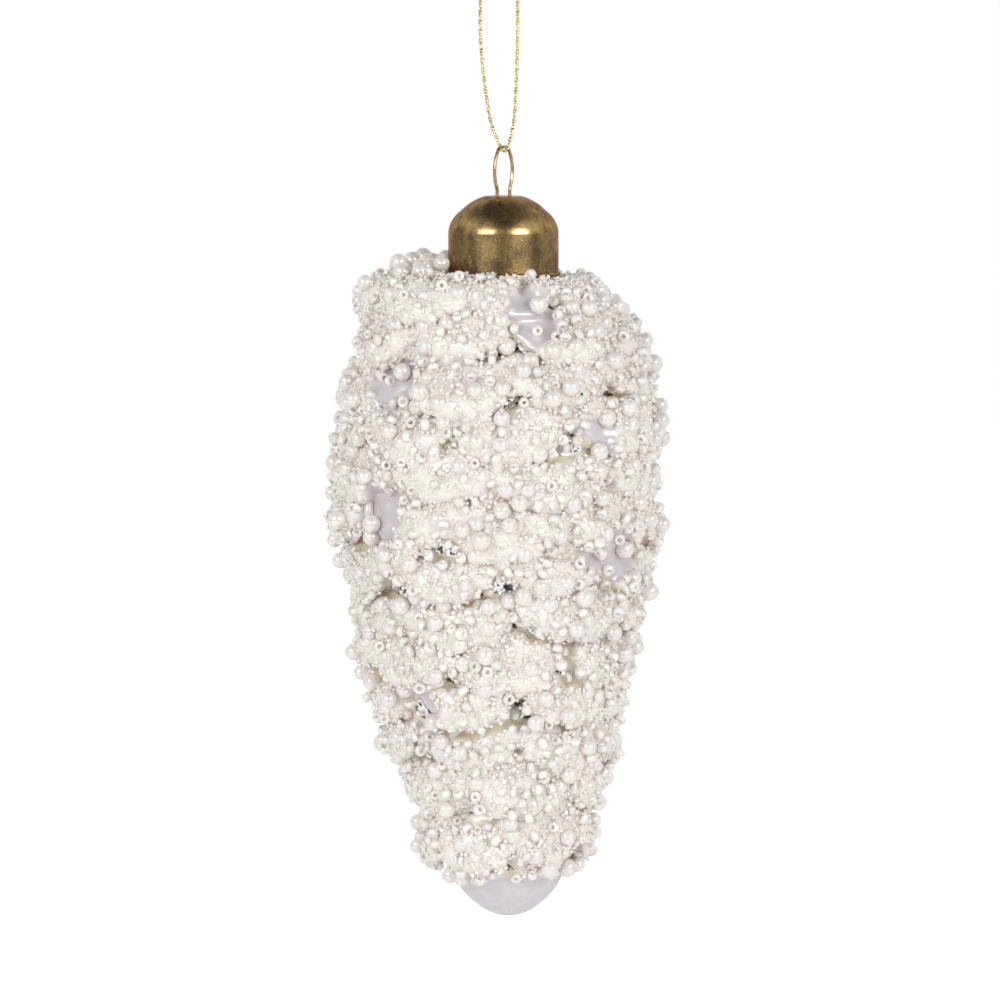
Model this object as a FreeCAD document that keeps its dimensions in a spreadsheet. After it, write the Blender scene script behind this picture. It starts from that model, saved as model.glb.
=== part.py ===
import FreeCAD, Part
import math
import os
import random

import Sketcher

# Mould-blown glass ornament shaped like a hanging cone of overlapping scales. Its outside is
# crusted with pearls, seed beads and bugles. A brass cap covers the neck, a spring wire grips
# the bore and makes the eye above the cap, and a thread loop runs through that eye.
# Millimetres, +Z up. The origin is the point at the top of the thread loop where a hook bears.

# ---------------------------------------------------------------------------- driving sizes

SIZES = {
    # thread
    "thread_diameter": 0.65,
    "loop_drop": 30.0,
    "strand_spread_left": 4.75,
    "strand_spread_right": 2.85,
    "knot_core_radius": 0.78,
    "knot_wrap_radius": 0.62,
    "knot_tail_length": 4.5,
    "knot_lift": 0.1,
    # hanger wire
    "wire_diameter": 0.6,
    "eye_width": 6.8,
    "eye_height": 8.9,
    "eye_seat_length": 1.2,
    "eye_arch_radius": 1.7,
    "eye_foot_height": 1.0,
    "leg_gap": 4.4,
    "foot_bend_radius": 1.2,
    "leg_straight": 4.6,
    "leg_splay": 6.4,
    "leg_grip": 10.0,
    "thread_to_wire": 0.12,
    # cap
    "cap_diameter": 19.3,
    "cap_height": 13.9,
    "cap_wall": 0.4,
    "cap_flat_diameter": 6.6,
    "cap_slope_width": 4.1,
    "cap_slope_fall": 2.5,
    "cap_dome_fall": 6.2,
    "cap_slope_arc": 9.0,
    "cap_dome_arc": 5.2,
    "rim_bead_diameter": 0.8,
    "leg_hole_clearance": 0.12,
    # glass
    "neck_diameter": 16.4,
    "glass_wall": 1.2,
    "neck_to_crown": 4.3,
    "rim_to_shoulder": 0.5,
    "glass_length": 111.9,
    "body_girth": 1.0,
    "shoulder_swell": 3.6,
    "scale_rise": 4.4,
    "scale_length": 16.5,
    "leg_to_bore": 0.3,
    # beads
    "pearl_diameter": 3.2,
    "pearl_bore": 0.7,
    "seed_diameter": 2.1,
    "seed_length": 1.35,
    "seed_bore": 0.8,
    "bugle_diameter": 1.7,
    "bugle_length": 4.4,
    "bugle_bore": 0.8,
    "bead_bedding": 0.25,
    "bead_gap": 0.06,
    "beads_below_rim": 0.4,
    "beads_off_cap": 0.9,
}

# Sizes that follow from the ones above, as cell formulas.
DERIVED = {
    "cap_radius": "=cap_diameter / 2",
    "cap_inner_radius": "=cap_diameter / 2 - cap_wall",
    "cap_flat_radius": "=cap_flat_diameter / 2",
    "cap_slope_radius": "=cap_flat_diameter / 2 + cap_slope_width",
    "cap_inner_flat": "=cap_flat_diameter / 2 - 0.3 * cap_wall",
    "cap_inner_slope": "=cap_flat_diameter / 2 + cap_slope_width - 0.6 * cap_wall",
    "cap_inner_slope_fall": "=cap_slope_fall + 0.85 * cap_wall",
    "cap_inner_dome_fall": "=cap_dome_fall + 0.2 * cap_wall",
    "cap_inner_slope_arc": "=cap_slope_arc - cap_wall",
    "cap_inner_dome_arc": "=cap_dome_arc - cap_wall",
    "rim_bead_radius": "=rim_bead_diameter / 2",
    "leg_hole_radius": "=wire_diameter / 2 + leg_hole_clearance",
    "leg_offset": "=leg_gap / 2",
    "cap_top_drop": "=loop_drop + eye_height",
    "thread_radius": "=thread_diameter / 2",
    "rim_bead_ring": "=cap_diameter / 2 - 0.1 * rim_bead_diameter / 2",
    "rim_bead_level": "=rim_bead_diameter / 2 - cap_height",
    "leg_hole_depth": "=cap_wall * 4",
}

# Radius of the bare core below the neck, as (share of the body's length, radius at girth 1).
CORE_STATIONS = [
    (0.000, 9.0),
    (0.004, 12.0),
    (0.014, 14.8),
    (0.040, 16.9),
    (0.080, 18.6),
    (0.120, 20.0),
    (0.200, 22.8),
    (0.280, 22.8),
    (0.360, 23.2),
    (0.455, 21.2),
    (0.565, 19.4),
    (0.670, 16.6),
    (0.780, 13.2),
    (0.850, 10.9),
    (0.900, 10.0),
    (0.935, 9.6),
    (0.960, 8.1),
    (0.977, 6.2),
    (0.989, 4.4),
    (0.997, 2.5),
    (1.000, 0.0),
]

# Sideways wander of the blown body, as (share of length, offset), along WANDER_DIRECTION.
WANDER_STATIONS = [
    (0.00, 0.0),
    (0.18, -0.4),
    (0.35, -1.2),
    (0.52, -0.9),
    (0.68, -0.6),
    (0.82, 0.3),
    (0.92, 0.7),
    (1.00, 0.9),
]
WANDER_DIRECTION = (0.5, -0.866)
SWELL_HEADING = math.radians(120.0)

# Rows of scales: (share of length at the lip, scales round, turn of the first in degrees).
SCALE_ROWS = [
    (0.056, 7, 10.0),
    (0.118, 7, 38.0),
    (0.188, 8, 12.0),
    (0.259, 8, 35.0),
    (0.333, 8, 10.0),
    (0.406, 8, 34.0),
    (0.478, 8, 11.0),
    (0.549, 7, 40.0),
    (0.618, 7, 12.0),
    (0.686, 7, 38.0),
    (0.752, 6, 8.0),
    (0.818, 6, 38.0),
    (0.905, 6, 6.0),
]

# Bottom edge of each bead tier, as a share of the body's length.
TIER_EDGES = [0.13, 0.26, 0.40, 0.53, 0.67, 0.79, 0.93]
PEARLS_PER_TIER = [34, 44, 46, 40, 30, 20, 12]
SEEDS_PER_TIER = [64, 92, 100, 88, 72, 54, 40]
BUGLES = 30

# A seed bead's ball before its ends are cut flat, and a bugle's eased edge, as shares of their
# radius.
SEED_ROUNDING = 1.04
BUGLE_EASE = 0.18

# Ends of the bugles' band, as shares of the body's length.
BUGLE_BAND = (0.04, 0.90)

# The surface's poles: how many, how much the rows crowd at both ends, and rows added there.
POLES_ROUND = 112
POLES_DOWN = 116
ROW_CROWDING = 0.018
ADDED_ROWS = [0.002, 0.005, 0.990, 0.996]

# Chance: a bead is tried at most TRIES times a band, thins out where the body is narrower than
# WIDEST_REACH, and keeps to scales that stand out more than a draw from SCALE_DRAW.
SEED_OF_CHANCE = 29
TRIES = 9000
WIDEST_REACH = 30.0
SCALE_DRAW = (0.3, 0.95)
TILTED_SEEDS = 0.45
TILT_DRAW = (0.8, 2.0)
SEED_LIFT_SPREAD = 0.25


def clamp(value, low, high):
    """Keep a value between two limits."""
    return max(low, min(high, value))


def through_stations(stations, share):
    """Smooth curve through a list of (share, value) stations."""
    if share <= stations[0][0]:
        return stations[0][1]
    for index in range(len(stations) - 1):
        left = stations[index]
        right = stations[index + 1]
        if share <= right[0]:
            before = stations[max(index - 1, 0)]
            after = stations[min(index + 2, len(stations) - 1)]
            gap = right[0] - left[0]
            t = (share - left[0]) / gap
            slope = (right[1] - left[1]) / gap
            slope_in = slope
            slope_out = slope
            if before is not left:
                back = (left[1] - before[1]) / (left[0] - before[0])
                slope_in = 0.0 if back * slope <= 0 else 2 * back * slope / (back + slope)
            if after is not right:
                ahead = (after[1] - right[1]) / (after[0] - right[0])
                slope_out = 0.0 if ahead * slope <= 0 else 2 * ahead * slope / (ahead + slope)
            a = 2 * t ** 3 - 3 * t ** 2 + 1
            b = t ** 3 - 2 * t ** 2 + t
            c = -2 * t ** 3 + 3 * t ** 2
            d = t ** 3 - t ** 2
            return a * left[1] + b * gap * slope_in + c * right[1] + d * gap * slope_out
    return stations[-1][1]


def smooth_step(value):
    """Ease from 0 to 1."""
    t = clamp(value, 0.0, 1.0)
    return t * t * (3 - 2 * t)


class Sheet:
    """The spreadsheet of sizes, with named reading."""

    def __init__(self, doc):
        self.page = doc.addObject("Spreadsheet::Sheet", "Sizes")
        row = 1
        for name, value in SIZES.items():
            self.page.set("A%d" % row, name)
            self.page.set("B%d" % row, str(value))
            self.page.setAlias("B%d" % row, name)
            row += 1
        for name, formula in DERIVED.items():
            self.page.set("A%d" % row, name)
            self.page.set("B%d" % row, formula)
            self.page.setAlias("B%d" % row, name)
            row += 1
        doc.recompute()

    def size(self, name):
        """One size from the sheet as a plain number."""
        return float(self.page.get(name))


doc = FreeCAD.newDocument("hanging_ornament")
sheet = Sheet(doc)
size = sheet.size
parts = {}


def origin_feature(body, role):
    """One of a body's own origin planes or axes, by role."""
    for feature in body.Origin.OriginFeatures:
        if feature.Role == role:
            return feature
    raise LookupError(role)


def circle_through(start, end, radius, side):
    """Centre of the circle of a radius through two points, on one side of the chord."""
    middle = ((start[0] + end[0]) / 2, (start[1] + end[1]) / 2)
    along = (end[0] - start[0], end[1] - start[1])
    chord = math.hypot(along[0], along[1])
    rise = math.sqrt(max(radius ** 2 - (chord / 2) ** 2, 0.0))
    return (
        middle[0] - side * rise * along[1] / chord,
        middle[1] + side * rise * along[0] / chord,
    )


def pinned_outline(body, name, plane_role, corners, arcs):
    """A closed sketch whose corners and arc radii are bound to cells of the sheet.

    corners holds (cell for the radius or None, cell for the fall or None); arcs maps the number
    of the edge that leaves a corner to (cell of its radius, side of the chord).
    """
    sketch = body.newObject("Sketcher::SketchObject", name)
    sketch.AttachmentSupport = (origin_feature(body, plane_role), [""])
    sketch.MapMode = "FlatFace"
    points = []
    for across, down in corners:
        x = size(across) if across else 0.0
        z = -size(down) if down else 0.0
        points.append((x, z))
    count = len(points)
    for number in range(count):
        start = points[number]
        end = points[(number + 1) % count]
        if number in arcs:
            radius_cell, side = arcs[number]
            radius = size(radius_cell)
            centre = circle_through(start, end, radius, side)
            low = math.atan2(start[1] - centre[1], start[0] - centre[0])
            high = math.atan2(end[1] - centre[1], end[0] - centre[0])
            circle = Part.Circle(
                FreeCAD.Vector(centre[0], centre[1], 0), FreeCAD.Vector(0, 0, 1), radius
            )
            if side > 0:
                sketch.addGeometry(Part.ArcOfCircle(circle, low, high), False)
            else:
                sketch.addGeometry(Part.ArcOfCircle(circle, high, low), False)
        else:
            sketch.addGeometry(
                Part.LineSegment(
                    FreeCAD.Vector(start[0], start[1], 0), FreeCAD.Vector(end[0], end[1], 0)
                ),
                False,
            )

    def start_point(number):
        """Which end of an edge is its start: arcs drawn against the clock are reversed."""
        return 2 if number in arcs and arcs[number][1] < 0 else 1

    for number in range(count):
        following = (number + 1) % count
        end_of_this = 3 - start_point(number)
        sketch.addConstraint(
            Sketcher.Constraint(
                "Coincident", number, end_of_this, following, start_point(following)
            )
        )
    for number in range(count):
        across, down = corners[number]
        point = start_point(number)
        if across:
            index = sketch.addConstraint(
                Sketcher.Constraint("DistanceX", -1, 1, number, point, points[number][0])
            )
            sketch.setExpression("Constraints[%d]" % index, "Sizes.%s" % across)
        else:
            sketch.addConstraint(Sketcher.Constraint("PointOnObject", number, point, -2))
        if down:
            index = sketch.addConstraint(
                Sketcher.Constraint("DistanceY", number, point, -1, 1, -points[number][1])
            )
            sketch.setExpression("Constraints[%d]" % index, "Sizes.%s" % down)
        else:
            sketch.addConstraint(Sketcher.Constraint("PointOnObject", number, point, -1))
    for number, (radius_cell, side) in arcs.items():
        index = sketch.addConstraint(Sketcher.Constraint("Radius", number, size(radius_cell)))
        sketch.setExpression("Constraints[%d]" % index, "Sizes.%s" % radius_cell)
    return sketch


def keep(node, item, drop_cell=None):
    """Register an object as one of the parts, placed below the origin by a cell of the sheet."""
    item.Label = node
    if drop_cell:
        item.setExpression("Placement.Base.z", "-Sizes.%s" % drop_cell)
    parts[node] = item
    return item


# ------------------------------------------------------------------------------------- cap

def build_cap():
    """Brass cap: a lathed shell with a flat crown, sloped shoulder and straight skirt."""
    body = doc.addObject("PartDesign::Body", "cap")
    corners = [
        (None, None),
        ("cap_flat_radius", None),
        ("cap_slope_radius", "cap_slope_fall"),
        ("cap_radius", "cap_dome_fall"),
        ("cap_radius", "cap_height"),
        ("cap_inner_radius", "cap_height"),
        ("cap_inner_radius", "cap_inner_dome_fall"),
        ("cap_inner_slope", "cap_inner_slope_fall"),
        ("cap_inner_flat", "cap_wall"),
        (None, "cap_wall"),
    ]
    arcs = {
        1: ("cap_slope_arc", -1),
        2: ("cap_dome_arc", -1),
        6: ("cap_inner_dome_arc", 1),
        7: ("cap_inner_slope_arc", 1),
    }
    outline = pinned_outline(body, "cap_outline", "XZ_Plane", corners, arcs)
    outline.Visibility = False
    turn = body.newObject("PartDesign::Revolution", "cap_shell")
    turn.Profile = outline
    turn.ReferenceAxis = (origin_feature(body, "Z_Axis"), [""])
    turn.Angle = 360.0
    body.Tip = turn

    bead = body.newObject("PartDesign::AdditiveTorus", "rolled_rim")
    bead.setExpression("Radius1", "Sizes.rim_bead_ring")
    bead.setExpression("Radius2", "Sizes.rim_bead_radius")
    bead.setExpression("AttachmentOffset.Base.z", "Sizes.rim_bead_level")
    bead.AttachmentSupport = (origin_feature(body, "XY_Plane"), [""])
    bead.MapMode = "FlatFace"
    body.Tip = bead

    holes = body.newObject("Sketcher::SketchObject", "leg_holes")
    holes.AttachmentSupport = (origin_feature(body, "XY_Plane"), [""])
    holes.MapMode = "FlatFace"
    for number, side in enumerate((1, -1)):
        centre = FreeCAD.Vector(side * size("leg_offset"), 0, 0)
        holes.addGeometry(
            Part.Circle(centre, FreeCAD.Vector(0, 0, 1), size("leg_hole_radius")), False
        )
        holes.addConstraint(Sketcher.Constraint("PointOnObject", number, 3, -1))
        ends = (-1, 1, number, 3) if side > 0 else (number, 3, -1, 1)
        index = holes.addConstraint(
            Sketcher.Constraint("DistanceX", *ends, size("leg_offset"))
        )
        holes.setExpression("Constraints[%d]" % index, "Sizes.leg_offset")
        index = holes.addConstraint(
            Sketcher.Constraint("Radius", number, size("leg_hole_radius"))
        )
        holes.setExpression("Constraints[%d]" % index, "Sizes.leg_hole_radius")
    drill = body.newObject("PartDesign::Pocket", "leg_hole_pocket")
    drill.Profile = holes
    drill.setExpression("Length", "Sizes.leg_hole_depth")
    body.Tip = drill
    return keep("cap", body, "cap_top_drop")


# ------------------------------------------------------------------------------------ wire

def on_circle(centre, radius, angle):
    """Point of a circle at an angle."""
    return (centre[0] + radius * math.cos(angle), centre[1] + radius * math.sin(angle))


def wire_route():
    """Right half of the hanger's centreline in its own plane, as x and height over the crown.

    Returns the seat's end, the tangent arcs going down as (middle, end) points, and the corners
    of the leg.
    """
    wire = size("wire_diameter") / 2
    half_seat = size("eye_seat_length") / 2
    half_width = size("eye_width") / 2 - wire
    top = size("eye_height") - wire
    arch = size("eye_arch_radius")
    foot = size("foot_bend_radius")
    leg = size("leg_offset")
    inset = half_width - half_seat
    spare = half_width - leg

    def side_radius(belly):
        """Radius of a side arc that is widest at a height and tangent to the arch."""
        return (inset ** 2 + (top - arch - belly) ** 2 - arch ** 2) / (2 * (inset - arch))

    def foot_height(belly):
        """Height where the leg runs straight below a side arc that is widest at a height."""
        return belly - math.sqrt(spare * (2 * (side_radius(belly) + foot) - spare))

    low, high = 0.0, top - arch
    for _ in range(60):
        belly = (low + high) / 2
        if foot_height(belly) < size("eye_foot_height"):
            low = belly
        else:
            high = belly
    side = side_radius(belly)
    side_centre = (half_width - side, belly)
    arch_centre = (half_seat, top - arch)
    foot_centre = (leg + foot, foot_height(belly))
    above = math.atan2(arch_centre[1] - side_centre[1], arch_centre[0] - side_centre[0])
    below = math.atan2(foot_centre[1] - side_centre[1], foot_centre[0] - side_centre[0])
    arcs = [
        (
            on_circle(arch_centre, arch, (math.pi / 2 + above) / 2),
            on_circle(side_centre, side, above),
        ),
        (
            on_circle(side_centre, side, (above + below) / 2),
            on_circle(side_centre, side, below),
        ),
        (on_circle(foot_centre, foot, math.pi + below / 2), (leg, foot_centre[1])),
    ]
    bore = size("neck_diameter") / 2 - size("glass_wall")
    reach = bore - size("leg_to_bore") - wire
    splay_from = -size("leg_straight")
    splay_to = splay_from - size("leg_splay")
    corners = [
        (leg, foot_centre[1]),
        (leg, splay_from),
        (reach, splay_to),
        (reach, splay_to - size("leg_grip")),
    ]
    return (half_seat, top), arcs, corners


def round_corners(points, share=0.45):
    """Edges of a route of straight runs joined by tangent arcs, with the arcs' radii."""
    edges = []
    radii = []
    here = points[0]
    for number in range(1, len(points) - 1):
        corner = points[number]
        back = (points[number - 1] - corner)
        ahead = (points[number + 1] - corner)
        shorter = min(back.Length, ahead.Length)
        turn = math.pi - back.getAngle(ahead)
        back.normalize()
        ahead.normalize()
        trim = share * shorter
        radius = trim / math.tan(turn / 2)
        first = corner + back * trim
        last = corner + ahead * trim
        inward = (back + ahead)
        inward.normalize()
        middle = corner + inward * (radius / math.cos(turn / 2) - radius)
        edges.append(Part.LineSegment(here, first).toShape())
        edges.append(Part.Arc(first, middle, last).toShape())
        radii.append((radius, math.degrees(turn)))
        here = last
    edges.append(Part.LineSegment(here, points[-1]).toShape())
    return edges, radii


def swept(wire, radius, start, heading):
    """A round tube along a wire."""
    ring = Part.Wire(Part.makeCircle(radius, start, heading))
    tube = wire.makePipeShell([ring], True, True)
    if tube.Volume < 0:
        tube.reverse()
    return tube


def build_hanger_wire():
    """Spring wire: the eye with its straight seat, two feet and the splayed legs."""
    seat_end, arcs, corners = wire_route()

    def at(point, side):
        """A point in the eye's plane, on its right or left half."""
        return FreeCAD.Vector(side * point[0], 0, point[1])

    halves = {}
    for side in (1, -1):
        run = []
        here = seat_end
        for middle, end in arcs:
            run.append(Part.Arc(at(here, side), at(middle, side), at(end, side)).toShape())
            here = end
        leg_edges, _ = round_corners([at(corner, side) for corner in corners], 0.35)
        halves[side] = run + leg_edges
    seat = Part.LineSegment(at(seat_end, -1), at(seat_end, 1)).toShape()
    route = Part.Wire(list(reversed(halves[-1])) + [seat] + halves[1])
    tube = swept(route, size("wire_diameter") / 2, at(corners[-1], -1), FreeCAD.Vector(0, 0, 1))
    item = doc.addObject("Part::Feature", "hanger_wire")
    item.Shape = tube
    return keep("hanger_wire", item, "cap_top_drop")


# ---------------------------------------------------------------------------------- thread

def thread_route():
    """Corner points of the thread: from the knot, down, under the eye's seat and back up."""
    left = size("strand_spread_left")
    right = size("strand_spread_right")
    drop = size("loop_drop")
    wire = size("wire_diameter")
    radius = size("thread_diameter") / 2
    bottom = -drop - wire - size("thread_to_wire") - radius
    lift = radius + size("knot_lift")
    fold = radius + wire / 2 + size("thread_to_wire")
    route = [
        (0.06, lift),
        (0.34 * left, lift - 0.04),
        (0.70 * left, lift - 0.20 * left),
        (0.93 * left, lift - 0.58 * left),
        (1.00 * left, -0.245 * drop),
        (0.97 * left, -0.420 * drop),
        (0.80 * left, -0.650 * drop),
        (0.55 * left, -0.880 * drop),
        (1.32 * fold, -drop + 0.5),
        (0.58 * fold, bottom),
        (-0.85 * fold, bottom),
        (-1.95 * fold, -drop + 1.1),
        (-0.80 * right, -0.840 * drop),
        (-0.92 * right, -0.620 * drop),
        (-1.00 * right, -0.390 * drop),
        (-1.01 * right, -0.180 * drop),
        (-0.95 * right, lift - 0.62 * right),
        (-0.76 * right, lift - 0.24 * right),
        (-0.41 * right, lift - 0.03),
        (-0.06, lift),
    ]
    return [FreeCAD.Vector(0, across, up) for across, up in route]


def build_thread():
    """The hanging thread as one plain tube from the knot round to the knot."""
    route = thread_route()
    edges, radii = round_corners(route)
    wire = Part.Wire(edges)
    radius = size("thread_diameter") / 2
    heading = route[1] - route[0]
    tube = swept(wire, radius, route[0], heading)
    item = doc.addObject("Part::Feature", "hanging_thread")
    item.Shape = tube
    print("thread length", round(wire.Length, 2))
    for bend, turn in radii:
        print("  thread bend radius", round(bend, 2), "turn", round(turn, 1))
    expected = math.pi * radius ** 2 * wire.Length
    print("  thread volume", round(tube.Volume, 3), "section x length", round(expected, 3))
    return keep("hanging_thread", item)


def build_knot():
    """Overhand knot that closes the loop: three wraps over a core, with two cut tails."""
    pieces = []
    lift = "Sizes.thread_radius + Sizes.knot_lift"
    core = doc.addObject("Part::Sphere", "knot_core")
    core.setExpression("Radius", "Sizes.knot_core_radius")
    core.setExpression("Placement.Base.z", lift + " + 0.58 * Sizes.knot_core_radius")
    pieces.append(core)
    wraps = [
        ("knot_wrap_a", 0.30, FreeCAD.Rotation(FreeCAD.Vector(1, 0.2, 0), 64)),
        ("knot_wrap_b", 0.74, FreeCAD.Rotation(FreeCAD.Vector(0.3, 1, 0), 37)),
        ("knot_wrap_c", 1.10, FreeCAD.Rotation(FreeCAD.Vector(1, 1.4, 0), -17)),
    ]
    for name, share, turn in wraps:
        wrap = doc.addObject("Part::Torus", name)
        wrap.setExpression("Radius1", "Sizes.knot_wrap_radius")
        wrap.setExpression("Radius2", "Sizes.thread_radius")
        wrap.Placement = FreeCAD.Placement(FreeCAD.Vector(0, 0, 0), turn)
        wrap.setExpression(
            "Placement.Base.z", "%s + %.2f * Sizes.knot_core_radius" % (lift, share)
        )
        pieces.append(wrap)
    tails = [("knot_tail_a", 14.0, 35.0), ("knot_tail_b", -19.0, 80.0)]
    for name, lean, heading in tails:
        tail = doc.addObject("Part::Cylinder", name)
        tail.setExpression("Radius", "Sizes.thread_radius")
        tail.setExpression("Height", "Sizes.knot_tail_length")
        axis = FreeCAD.Vector(math.cos(math.radians(heading)), math.sin(math.radians(heading)), 0)
        tail.Placement = FreeCAD.Placement(
            FreeCAD.Vector(0, 0, 0), FreeCAD.Rotation(axis, lean)
        )
        tail.setExpression("Placement.Base.z", lift + " + 0.64 * Sizes.knot_core_radius")
        pieces.append(tail)
    knot = doc.addObject("Part::MultiFuse", "thread_knot")
    knot.Shapes = pieces
    knot.Refine = False
    return keep("thread_knot", knot)


# ----------------------------------------------------------------------------------- glass

def shoulder_level():
    """Height of the glass shoulder below the crown of the cap."""
    return -size("cap_height") - size("rim_to_shoulder")


def scales():
    """Every scale as (lip height, half pitch in radians, heading, width share, rise share)."""
    chance = random.Random(SEED_OF_CHANCE)
    found = []
    for lip, count, turn in SCALE_ROWS:
        for number in range(count):
            heading = math.radians(turn) + 2 * math.pi * number / count
            heading += chance.uniform(-0.07, 0.07)
            wobble = chance.uniform(-0.011, 0.011)
            breadth = chance.uniform(0.94, 1.10)
            rise = chance.uniform(0.82, 1.12)
            found.append((lip + wobble, math.pi / count, heading, breadth, rise))
    return found


SCALES = scales()


def scale_height(share, heading, lip_step=0.0045):
    """How far the nearest scale stands out of the core, as a share of the scale rise."""
    length = size("glass_length")
    long = size("scale_length") / length
    best = 0.0
    for lip, half, middle, breadth, rise in SCALES:
        above = lip - share
        if above < -0.03 or above > long:
            continue
        across = (heading - middle + math.pi) % (2 * math.pi) - math.pi
        u = across / (half * breadth * 1.08)
        if abs(u) >= 1.0:
            continue
        from_lip = above / long - 0.30 * u * u
        edge = smooth_step((from_lip + lip_step * 5) / (lip_step * 10))
        body = clamp(1.0 - from_lip, 0.0, 1.0) ** 1.35
        flank = (1.0 - abs(u) ** 4) ** 0.5
        best = max(best, edge * body * flank * rise)
    return best


def skin_radius(share, heading):
    """Outer radius of the glass at a share of the length and a heading."""
    core = through_stations(CORE_STATIONS, share) * size("body_girth")
    fade = smooth_step((0.955 - share) / 0.06) * smooth_step(share / 0.012)
    thin = 0.72 + 0.28 * smooth_step((0.9 - share) / 0.45)
    swell = smooth_step(share / 0.006) * smooth_step((0.085 - share) / 0.07)
    core += size("shoulder_swell") * swell * math.cos(heading - SWELL_HEADING)
    return core + size("scale_rise") * fade * thin * scale_height(share, heading)


def wander(share):
    """Sideways offset of the body's axis at a share of its length."""
    offset = through_stations(WANDER_STATIONS, share)
    return offset * WANDER_DIRECTION[0], offset * WANDER_DIRECTION[1]


def rows_down(count):
    """Shares of the length where rows of poles stand, closer at the shoulder and the tip."""
    shares = [0.0, 1.0]
    for number in range(1, count - 1):
        t = number / (count - 1)
        shares.append(t - ROW_CROWDING * math.sin(2 * math.pi * t))
    return sorted(set(shares + ADDED_ROWS))


def blown_solid(radius_at, level, length, round_count, down_count):
    """A closed solid whose side is one smooth surface periodic round the axis."""
    shares = rows_down(down_count)
    poles = []
    tip_x, tip_y = wander(1.0)
    for number in range(round_count):
        heading = 2 * math.pi * number / round_count
        line = []
        for share in shares:
            r = radius_at(share, heading) if share < 1.0 else 0.0
            shift_x, shift_y = wander(share)
            line.append(
                FreeCAD.Vector(
                    shift_x + r * math.cos(heading),
                    shift_y + r * math.sin(heading),
                    level - share * length,
                )
            )
        flat = radius_at(shares[-2], heading)
        line.insert(
            -1,
            FreeCAD.Vector(
                tip_x + 0.55 * flat * math.cos(heading),
                tip_y + 0.55 * flat * math.sin(heading),
                level - length,
            ),
        )
        poles.append(line)
    rows = len(poles[0])
    surface = Part.BSplineSurface()
    surface.buildFromPolesMultsKnots(
        poles,
        [1] * (round_count + 1),
        [4] + [1] * (rows - 4) + [4],
        [float(n) for n in range(round_count + 1)],
        [float(n) for n in range(rows - 2)],
        True,
        False,
        3,
        3,
    )
    side = surface.toShape()
    rim = None
    for edge in side.Edges:
        box = edge.BoundBox
        if edge.isClosed() and abs(box.ZMax - level) < 1e-6 and box.ZLength < 1e-6:
            rim = edge
    lid = Part.Face(Part.Wire([rim]))
    shell = Part.makeShell([side, lid])
    shell.sewShape()
    solid = Part.Solid(shell)
    if solid.Volume < 0:
        solid.reverse()
    return solid, surface


def inner_radius(share, heading):
    """Radius of the hollow: the least outer radius close by, less the wall."""
    wall = size("glass_wall") / size("glass_length")
    nearby = [
        skin_radius(clamp(share + step * wall, 0.0, 0.9995), heading)
        for step in (-1.6, -0.8, 0, 0.8, 1.6)
    ]
    return max(min(nearby) - size("glass_wall"), 0.4)


def build_glass():
    """Blown glass body: scaled skin, even hollow, open neck."""
    level = shoulder_level()
    length = size("glass_length")
    wall = size("glass_wall")
    neck = size("neck_diameter") / 2
    outer, surface = blown_solid(skin_radius, level, length, POLES_ROUND, POLES_DOWN)
    inner, _ = blown_solid(
        lambda share, heading: inner_radius(
            (wall * 1.1 + share * (length - 2.2 * wall)) / length, heading
        ),
        level - 1.1 * wall,
        length - 2.2 * wall,
        POLES_ROUND // 2,
        POLES_DOWN // 2,
    )
    neck_top = -size("neck_to_crown")
    stem = Part.makeCylinder(
        neck, neck_top - level + 0.8, FreeCAD.Vector(0, 0, level - 0.8)
    )
    bore = Part.makeCylinder(
        neck - wall, neck_top - level + 4.0, FreeCAD.Vector(0, 0, level - 3.0)
    )
    body = outer.fuse(stem).cut(inner).cut(bore)
    item = doc.addObject("Part::Feature", "glass_body")
    item.Shape = body.Solids[0] if len(body.Solids) == 1 else body
    keep("glass_body", item, "cap_top_drop")
    return surface


# ----------------------------------------------------------------------------------- beads

def turned_bead(outline):
    """A bead lathed about Z from a closed outline of radius and height."""
    points = [FreeCAD.Vector(r, 0, z) for r, z in outline]
    face = Part.Face(Part.makePolygon(points + points[:1]))
    return face.revolve(FreeCAD.Vector(0, 0, 0), FreeCAD.Vector(0, 0, 1), 360)


def drilled_ball(radius, bore, half_length):
    """A ball with flats at its ends and a bore along Z."""
    ball = Part.makeSphere(radius)
    if half_length < radius:
        slab = Part.makeCylinder(
            radius * 1.2, 2 * half_length, FreeCAD.Vector(0, 0, -half_length)
        )
        ball = ball.common(slab)
    drill = Part.makeCylinder(bore / 2, 4 * radius, FreeCAD.Vector(0, 0, -2 * radius))
    return ball.cut(drill).Solids[0]


def make_bases():
    """The three kinds of bead, each about its own centre with its bore along Z."""
    pearl = drilled_ball(size("pearl_diameter") / 2, size("pearl_bore"), size("pearl_diameter"))
    seed = drilled_ball(
        size("seed_diameter") / 2 * SEED_ROUNDING, size("seed_bore"), size("seed_length") / 2
    )
    r = size("bugle_diameter") / 2
    b = size("bugle_bore") / 2
    h = size("bugle_length") / 2
    ease = BUGLE_EASE * r
    bugle = turned_bead(
        [(b, -h), (r - ease, -h), (r, -h + ease), (r, h - ease), (r - ease, h), (b, h)]
    )
    return {"pearl": pearl, "seed": seed, "bugle": bugle}


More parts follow.
